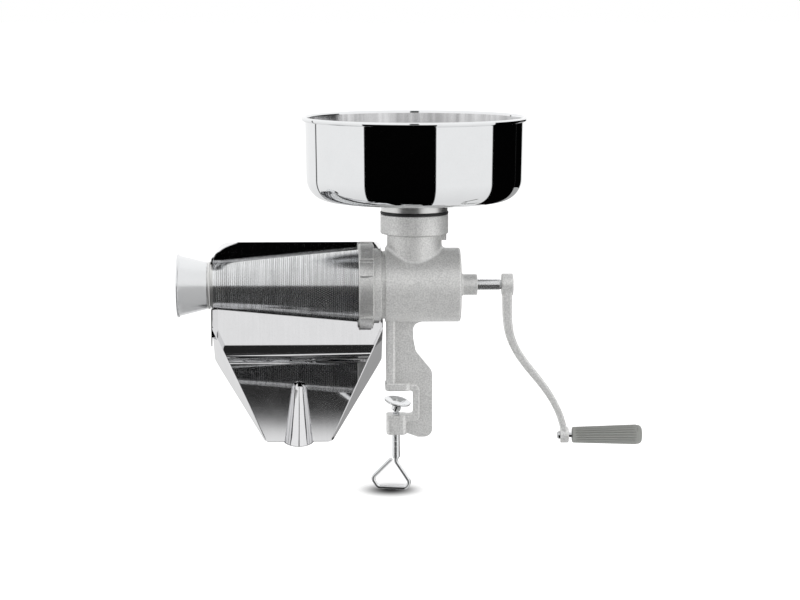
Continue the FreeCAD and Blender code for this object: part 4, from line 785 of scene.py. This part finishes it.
class STRAINER_OT_bowl(bpy.types.Operator):
    """Spin the bowl with its rolled rim, and finish its spigot and gasket"""
    bl_idname = "strainer.bowl"
    bl_label = "Bowl"

    def execute(self, context):
        size = context.scene.strainer_bowl
        low, high = BOWL_LOW.z, BOWL_HIGH.z
        wall_top = high - size.rim
        top = size.radius + size.flare
        rim_r = top - size.sheet + size.rim
        outside = rounded([
            (size.hole, low, 0),
            (size.radius, low, size.corner),
            (top, wall_top - size.rim * ROLL_OUTSIDE, 0),
        ])
        roll_turns = [math.radians(ROLL_START + ROLL_SWEEP * i / ROLL_STEPS) for i in range(ROLL_STEPS + 1)]
        roll = [Vector((rim_r + size.rim * math.cos(t), wall_top + size.rim * math.sin(t)))
                for t in roll_turns]
        inside = rounded([
            (top - size.sheet, wall_top - size.rim * ROLL_INSIDE, 0),
            (size.radius - size.sheet, low + size.sheet, size.corner - size.sheet),
            (size.hole, low + size.sheet, 0),
        ])
        outline = outside + roll + inside
        bowl = lathe("bowl", outline, size.segments, "Z", Vector((BOWL_X, 0, 0)), len(outside) + len(roll))
        bowl.data.materials.append(finish_of("mirror_steel"))
        bowl.data.materials.append(finish_of("brushed_bowl"))
        place(bowl, "hopper", "mirror_steel", "hopper_bowl")
        dress("hopper", "hopper_spigot", "spigot", "satin_steel", "mirror_steel")
        dress("hopper", "spigot_gasket", "gasket", "black_rubber", "black_rubber")
        return {"FINISHED"}


class STRAINER_OT_casting(bpy.types.Operator):
    """Finish the casting, cut the thread at its mouth and finish the bush and seal"""
    bl_idname = "strainer.casting"
    bl_label = "Casting"

    def execute(self, context):
        size = context.scene.strainer_thread
        dress("casting", "body_casting", "casting", "satin_casting", "cast_metal")
        nut_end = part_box("ring_nut")[1].x
        start = CONE_HIGH.x + MOUTH_BARE
        turns = (nut_end - MOUTH_BARE - start) / size.mouth_pitch
        thread = empty_piece("mouth_thread")
        grow(thread, thread_tree(), {
            "Radius": size.mouth_radius,
            "Pitch": size.mouth_pitch,
            "Turns": turns,
            "Ridge": MOUTH_RIDGE,
            "Steps": MOUTH_STEPS,
            "Along X": 1.0,
            "Start": (start, 0.0, AXIS.z),
            "Material": finish_of("satin_casting"),
        })
        place(thread, "casting", "cast_metal")
        dress("casting", "rear_bush", "bush", "bush_bronze", "bronze")
        dress("casting", "shaft_seal", "seal", "black_rubber", "black_rubber")
        return {"FINISHED"}


class STRAINER_OT_drive(bpy.types.Operator):
    """Finish the shaft, the pressing screw, the crank and their pins"""
    bl_idname = "strainer.drive"
    bl_label = "Screw and crank"

    def execute(self, context):
        dress("drive", "drive_shaft", "shaft", "polished_shaft", "turned_steel")
        dress("drive", "auger", "pressing_screw", "screw_plastic", "screw_plastic")
        dress("drive", "drive_pin", "screw_pin", "turned_steel", "turned_steel")
        dress("drive", "crank_arm", "crank", "satin_casting", "cast_metal")
        dress("drive", "crank_set_screw", "hub_screw", "turned_steel", "turned_steel")
        dress("drive", "grip_spindle", "spindle", "turned_steel", "turned_steel")
        return {"FINISHED"}


class STRAINER_OT_grip(bpy.types.Operator):
    """Turn the grip, press its ribs and close it with its cap"""
    bl_idname = "strainer.grip"
    bl_label = "Grip"

    def execute(self, context):
        size = context.scene.strainer_grip
        low, high = GRIP_LOW.x, GRIP_HIGH.x
        first = Vector((size.inner_radius, low + NOSE_LENGTH))
        last = Vector((size.outer_radius, high - SHOULDER_LENGTH))
        outline = [
            (size.bore, low),
            (size.inner_radius - NOSE_STEP, low),
            (size.inner_radius - EDGE_STEP, low + NOSE_ROUND),
            *(first.lerp(last, i / GRIP_STEPS) for i in range(GRIP_STEPS + 1)),
            (size.outer_radius - EDGE_STEP, high),
            (CAP_RADIUS, high),
            (CAP_RADIUS, high - CAP_DEPTH),
            (size.bore, high - CAP_DEPTH),
        ]
        centre = Vector((0, 0, GRIP_AXIS.z))
        body = lathe("grip_body", outline, size.ribs * RIB_FACETS, "X", centre)
        grow(body, rib_tree(), {
            "Ribs": size.ribs,
            "Depth": size.depth,
            "Low end": low + NOSE_LENGTH,
            "High end": high - RIB_END,
            "Run out": RIB_RUN_OUT,
            "Least radius": RIB_LEAST_RADIUS,
            "Axis height": GRIP_AXIS.z,
            "Material": finish_of("grip_plastic"),
        }, RIB_SHARP_ANGLE)
        place(body, "hand_grip", "grip_plastic", "grip")
        dress("hand_grip", "grip_cap", "grip_end", "grip_plastic", "grip_plastic")
        return {"FINISHED"}


class STRAINER_OT_clamp(bpy.types.Operator):
    """Thread the clamp screw and finish its handle, ball and pad"""
    bl_idname = "strainer.clamp"
    bl_label = "Clamp screw"

    def execute(self, context):
        size = context.scene.strainer_thread
        screw = from_node("clamp_screw", "clamp_screw_body", finish_of("plated_rod"))
        rod_low = size.screw_low
        for vertex in screw.data.vertices:
            across = math.hypot(vertex.co.x, vertex.co.y)
            if vertex.co.z > rod_low and across > size.screw_radius - SCREW_SKIN:
                vertex.co.x *= size.screw_core / across
                vertex.co.y *= size.screw_core / across
        turns = (SCREW_HIGH.z - SCREW_BARE - rod_low) / size.screw_pitch
        grow(screw, thread_tree(), {
            "Radius": size.screw_core + SCREW_RISE,
            "Pitch": size.screw_pitch,
            "Turns": turns,
            "Ridge": SCREW_RIDGE,
            "Steps": SCREW_STEPS,
            "Start": (0.0, 0.0, rod_low),
            "Material": finish_of("plated_rod"),
        })
        place(screw, "clamp_screw", "plated_steel", "clamp_screw")
        dress("pad_carrier", "pad_ball", "ball_stud", "turned_steel", "turned_steel")
        dress("clamp_pad", "clamp_pad", "pad", "plated_steel", "plated_steel")
        return {"FINISHED"}


class STRAINER_OT_filter(bpy.types.Operator):
    """Perforate the cone in two halves and finish its flange and tip band"""
    bl_idname = "strainer.filter"
    bl_label = "Perforated cone"

    def execute(self, context):
        size = context.scene.strainer_cone
        tree = perforation_tree()
        for name, start in (("cone_front", math.pi / 2), ("cone_back", -math.pi / 2)):
            half = empty_piece(name)
            grow(half, tree, {
                "Columns": size.columns,
                "Rows": size.rows,
                "Start angle": start,
                "Wide place": CONE_HIGH.x,
                "Narrow place": CONE_LOW.x,
                "Wide radius": size.big_radius,
                "Narrow radius": size.small_radius,
                "Axis height": AXIS.z,
                "Hole radius": size.hole,
                "Sheet": size.sheet,
                "Material": finish_of("perforated_steel"),
            })
            place(half, "filter", "perforated_steel", "cone_filter")
        dress("filter", "cone_flange", "cone_ring", "rolled_sheet", "brushed_steel")
        dress("filter", "cone_tip_band", "tip_band", "satin_steel", "brushed_steel")
        return {"FINISHED"}


class STRAINER_OT_ring_nut(bpy.types.Operator):
    """Finish the ring nut"""
    bl_idname = "strainer.ring_nut"
    bl_label = "Ring nut"

    def execute(self, context):
        dress("ring_nut", "ring_nut", "nut", "satin_nut", "cast_metal")
        return {"FINISHED"}


class STRAINER_OT_funnel(bpy.types.Operator):
    """Finish the funnel and its sleeve"""
    bl_idname = "strainer.funnel"
    bl_label = "Funnel"

    def execute(self, context):
        dress("funnel", "waste_funnel", "funnel_spout", "spun_funnel", "plated_steel")
        dress("funnel", "funnel_socket", "funnel_sleeve", "plated_steel", "plated_steel")
        return {"FINISHED"}


class STRAINER_OT_tray(bpy.types.Operator):
    """Finish the folded tray and its hanger"""
    bl_idname = "strainer.tray"
    bl_label = "Drip tray"

    def execute(self, context):
        dress("tray", "drip_tray", "tray", "rolled_sheet", "brushed_steel", TRAY_SHARP_ANGLE)
        dress("tray", "tray_hanger", "hanger", "rolled_sheet", "brushed_steel")
        return {"FINISHED"}


# The studio

SIGHT = (0.030, 0.990, -0.137)      # the way the photograph looks

# Dark screens that polished metal shows, laid out by the way the metal faces where it shows them: from and to
# in degrees to the photograph's right, from and to in degrees upwards, softness of the edges, darkness
SCREENS = (
    # in the bowl's wall
    (-29.0, 9.4, -60, 7.0, 0.25, 1.0),
    (43.0, 66.0, -60, 20, 0.4, 1.0),
    (65.5, 78.0, -12, 20, 0.4, 1.0),
    (65.5, 78.0, -60, -12, 1.0, 0.55),
    (-66.4, -65.0, -60, 24, 0.3, 0.9),
    # in the tray's slope and lip
    (-4.3, 0.4, 9.9, 20, 0.3, 0.98),
    (-4.3, 0.4, 20.6, 30, 0.6, 0.99),
    (-4.3, 0.4, 31, 36.8, 0.4, 0.94),
    (-4.3, 0.4, 37.78, 43, 0.15, 0.98),
)
SCREEN_COLOUR = (0.0008, 0.0008, 0.0008, 1.0)
FILL_COLOUR = (0.92, 0.92, 0.92, 1.0)
WHITE = (1.0, 1.0, 1.0, 1.0)

# The white around the screens: dimmest at one height in degrees, brightest at another
DIM_HEIGHT = -40
BRIGHT_HEIGHT = 30
DIM_LEVEL = 0.80
BRIGHT_LEVEL = 1.04

# Lamps: name, place, the point they face, side length and the setting of their power
LAMPS = (
    ("overhead", (0.1, -0.3, 2.2), (0.0, 0.0, 0.0), 2.4, "key_power"),
    ("left_side", (-2.2, -1.4, 1.2), (0.0, 0.0, 0.1), 1.6, "side_power"),
)
FLOOR_HALF = 30.0
FLOOR_DARK = 0.99       # the darker tone of the floor, as a share of its colour
FLOOR_GAP = 0.0001      # between the clamp handle's lowest point and the floor


def window(tree, value, low, high, soft):
    """1 between two angles and 0 outside them, with soft edges; all but the value in degrees."""
    low, high, soft = (math.radians(edge) for edge in (low, high, soft))
    rise = add(tree, "ShaderNodeMapRange", {
        "Value": value, "From Min": low - soft, "From Max": low + soft}, interpolation_type="SMOOTHSTEP")
    fall = add(tree, "ShaderNodeMapRange", {
        "Value": value, "From Min": high - soft, "From Max": high + soft, "To Min": 1.0, "To Max": 0.0},
        interpolation_type="SMOOTHSTEP")
    return maths(tree, "MULTIPLY", rise.outputs[0], fall.outputs[0])


def studio_world():
    """White surroundings in which polished metal sees dark screens."""
    world = bpy.data.worlds.new("studio")
    world.use_nodes = True
    tree = world.node_tree
    tree.nodes.clear()
    direction = add(tree, "ShaderNodeTexCoord").outputs["Generated"]
    facing = vector_maths(tree, "NORMALIZE", vector_maths(tree, "SUBTRACT", direction, SIGHT))
    parts = add(tree, "ShaderNodeSeparateXYZ", {"Vector": facing})
    forward = maths(tree, "MULTIPLY", parts.outputs["Y"], -1.0)
    side = maths(tree, "ARCTAN2", parts.outputs["X"], forward)
    height = maths(tree, "ARCSINE", parts.outputs["Z"])
    dark = 0.0
    for left, right, low, high, soft, depth in SCREENS:
        across = window(tree, side, left, right, soft)
        screen = maths(tree, "MULTIPLY", across, window(tree, height, low, high, soft))
        dark = maths(tree, "MAXIMUM", dark, maths(tree, "MULTIPLY", screen, depth))
    level = add(tree, "ShaderNodeMapRange", {
        "Value": height,
        "From Min": math.radians(DIM_HEIGHT),
        "From Max": math.radians(BRIGHT_HEIGHT),
        "To Min": DIM_LEVEL,
        "To Max": BRIGHT_LEVEL,
    }).outputs[0]
    pale = add(tree, "ShaderNodeCombineXYZ", {"X": level, "Y": level, "Z": level})
    ray = add(tree, "ShaderNodeLightPath")
    mirrored = blend(tree, dark, pale.outputs[0], SCREEN_COLOUR)
    seen = blend(tree, ray.outputs["Is Glossy Ray"], FILL_COLOUR, mirrored)
    colour_seen = blend(tree, ray.outputs["Is Camera Ray"], seen, WHITE)
    background = add(tree, "ShaderNodeBackground", {"Color": colour_seen})
    add(tree, "ShaderNodeOutputWorld", {"Surface": background.outputs[0]})
    bpy.context.scene.world = world


def studio_floor(settings):
    """A large, plain, pale floor that polished metal doesn't mirror, with a painted soft shadow below the
    handle.
    """
    height = SCREW_LOW.z - FLOOR_GAP
    mesh = bmesh.new()
    mesh.faces.new([mesh.verts.new((x * FLOOR_HALF, y * FLOOR_HALF, height))
                    for x, y in ((-1, -1), (1, -1), (1, 1), (-1, 1))])
    floor = finished_object("floor", mesh)
    material, tree, shader, here = new_material("pale_floor")
    # Painted shadow: colour and glow darken towards the handle's foot, a contact shadow painted into the
    # floor, not cast by the lamps.
    foot = ((SCREW_LOW.x + SCREW_HIGH.x) / 2, 0.0, height)
    away = vector_maths(tree, "DISTANCE", here, foot)
    clear = add(tree, "ShaderNodeMapRange", {
        "Value": away, "From Max": settings.painted_shade_radius, "To Min": 1.0 - settings.painted_shade_depth},
        interpolation_type="SMOOTHERSTEP").outputs[0]
    cloud = add(tree, "ShaderNodeTexNoise", {"Vector": here, "Scale": 3.0, "Detail": 2.0})
    pale = toned(tree, settings.floor, FLOOR_DARK, cloud.outputs["Fac"])
    shaded = add(tree, "ShaderNodeVectorMath", {0: pale, "Scale": clear}, operation="SCALE")
    tree.links.new(shaded.outputs[0], shader.inputs["Base Color"])
    shader.inputs["Roughness"].default_value = 0.9
    shader.inputs["Specular IOR Level"].default_value = 0.0
    shader.inputs["Emission Color"].default_value = WHITE
    tree.links.new(maths(tree, "MULTIPLY", clear, settings.floor_glow), shader.inputs["Emission Strength"])
    floor.data.materials.append(material)
    floor.visible_glossy = False


def soft_light(name, where, aim, side, power):
    """A large soft light that metal doesn't mirror."""
    data = bpy.data.lights.new(name, "AREA")
    data.shape = "SQUARE"
    data.size = side
    data.energy = power
    lamp = bpy.data.objects.new(name, data)
    lamp.location = where
    lamp.rotation_euler = (Vector(aim) - Vector(where)).to_track_quat("-Z", "Y").to_euler()
    lamp.visible_glossy = False
    bpy.context.scene.collection.objects.link(lamp)


def photo_camera(settings):
    """The camera at the photograph's place."""
    data = bpy.data.cameras.new("camera")
    data.lens = settings.lens
    data.sensor_width = 36.0
    data.clip_start = 0.05
    data.clip_end = 100.0
    camera = bpy.data.objects.new("camera", data)
    turn, tilt = settings.turn, settings.tilt
    look = Vector((math.sin(turn) * math.cos(tilt), math.cos(turn) * math.cos(tilt), -math.sin(tilt)))
    camera.location = settings.camera
    camera.rotation_euler = look.to_track_quat("-Z", "Y").to_euler()
    bpy.context.scene.collection.objects.link(camera)
    bpy.context.scene.camera = camera


class STRAINER_OT_stage(bpy.types.Operator):
    """Set up the floor, the lights, the surroundings and the camera"""
    bl_idname = "strainer.stage"
    bl_label = "Studio"

    def execute(self, context):
        settings = context.scene.strainer_studio
        studio_world()
        studio_floor(settings)
        for name, where, aim, side, power in LAMPS:
            soft_light(name, where, aim, side, getattr(settings, power))
        photo_camera(settings)
        context.scene.view_settings.view_transform = "Standard"
        return {"FINISHED"}


OPERATORS = (
    STRAINER_OT_bowl,
    STRAINER_OT_casting,
    STRAINER_OT_drive,
    STRAINER_OT_grip,
    STRAINER_OT_clamp,
    STRAINER_OT_filter,
    STRAINER_OT_ring_nut,
    STRAINER_OT_funnel,
    STRAINER_OT_tray,
    STRAINER_OT_stage,
)
SETTINGS = (
    ("strainer_bowl", BowlSettings),
    ("strainer_cone", ConeSettings),
    ("strainer_grip", GripSettings),
    ("strainer_thread", ThreadSettings),
    ("strainer_finish", FinishSettings),
    ("strainer_studio", StudioSettings),
)


class STRAINER_PT_panel(bpy.types.Panel):
    """Lists the strainer's pieces and settings"""
    bl_idname = "STRAINER_PT_panel"
    bl_label = "Tomato Strainer"
    bl_space_type = "VIEW_3D"
    bl_region_type = "UI"
    bl_category = "Strainer"

    def draw(self, context):
        for operator in OPERATORS:
            self.layout.operator(operator.bl_idname)
        for name, group in SETTINGS:
            box = self.layout.box()
            box.label(text=group.__doc__)
            for key in group.__annotations__:
                box.prop(getattr(context.scene, name), key)


def register():
    """Add the settings to the scene, and the operators and the panel to Blender."""
    for name, group in SETTINGS:
        bpy.utils.register_class(group)
        setattr(bpy.types.Scene, name, bpy.props.PointerProperty(type=group))
    for operator in OPERATORS:
        bpy.utils.register_class(operator)
    bpy.utils.register_class(STRAINER_PT_panel)


def unregister():
    """Take away what register adds."""
    bpy.utils.unregister_class(STRAINER_PT_panel)
    for operator in reversed(OPERATORS):
        bpy.utils.unregister_class(operator)
    for name, group in reversed(SETTINGS):
        delattr(bpy.types.Scene, name)
        bpy.utils.unregister_class(group)


def main():
    """Make every piece and the studio."""
    register()
    for operator in OPERATORS:
        getattr(bpy.ops.strainer, operator.bl_idname.split(".")[1])()


if __name__ == "__main__":
    main()
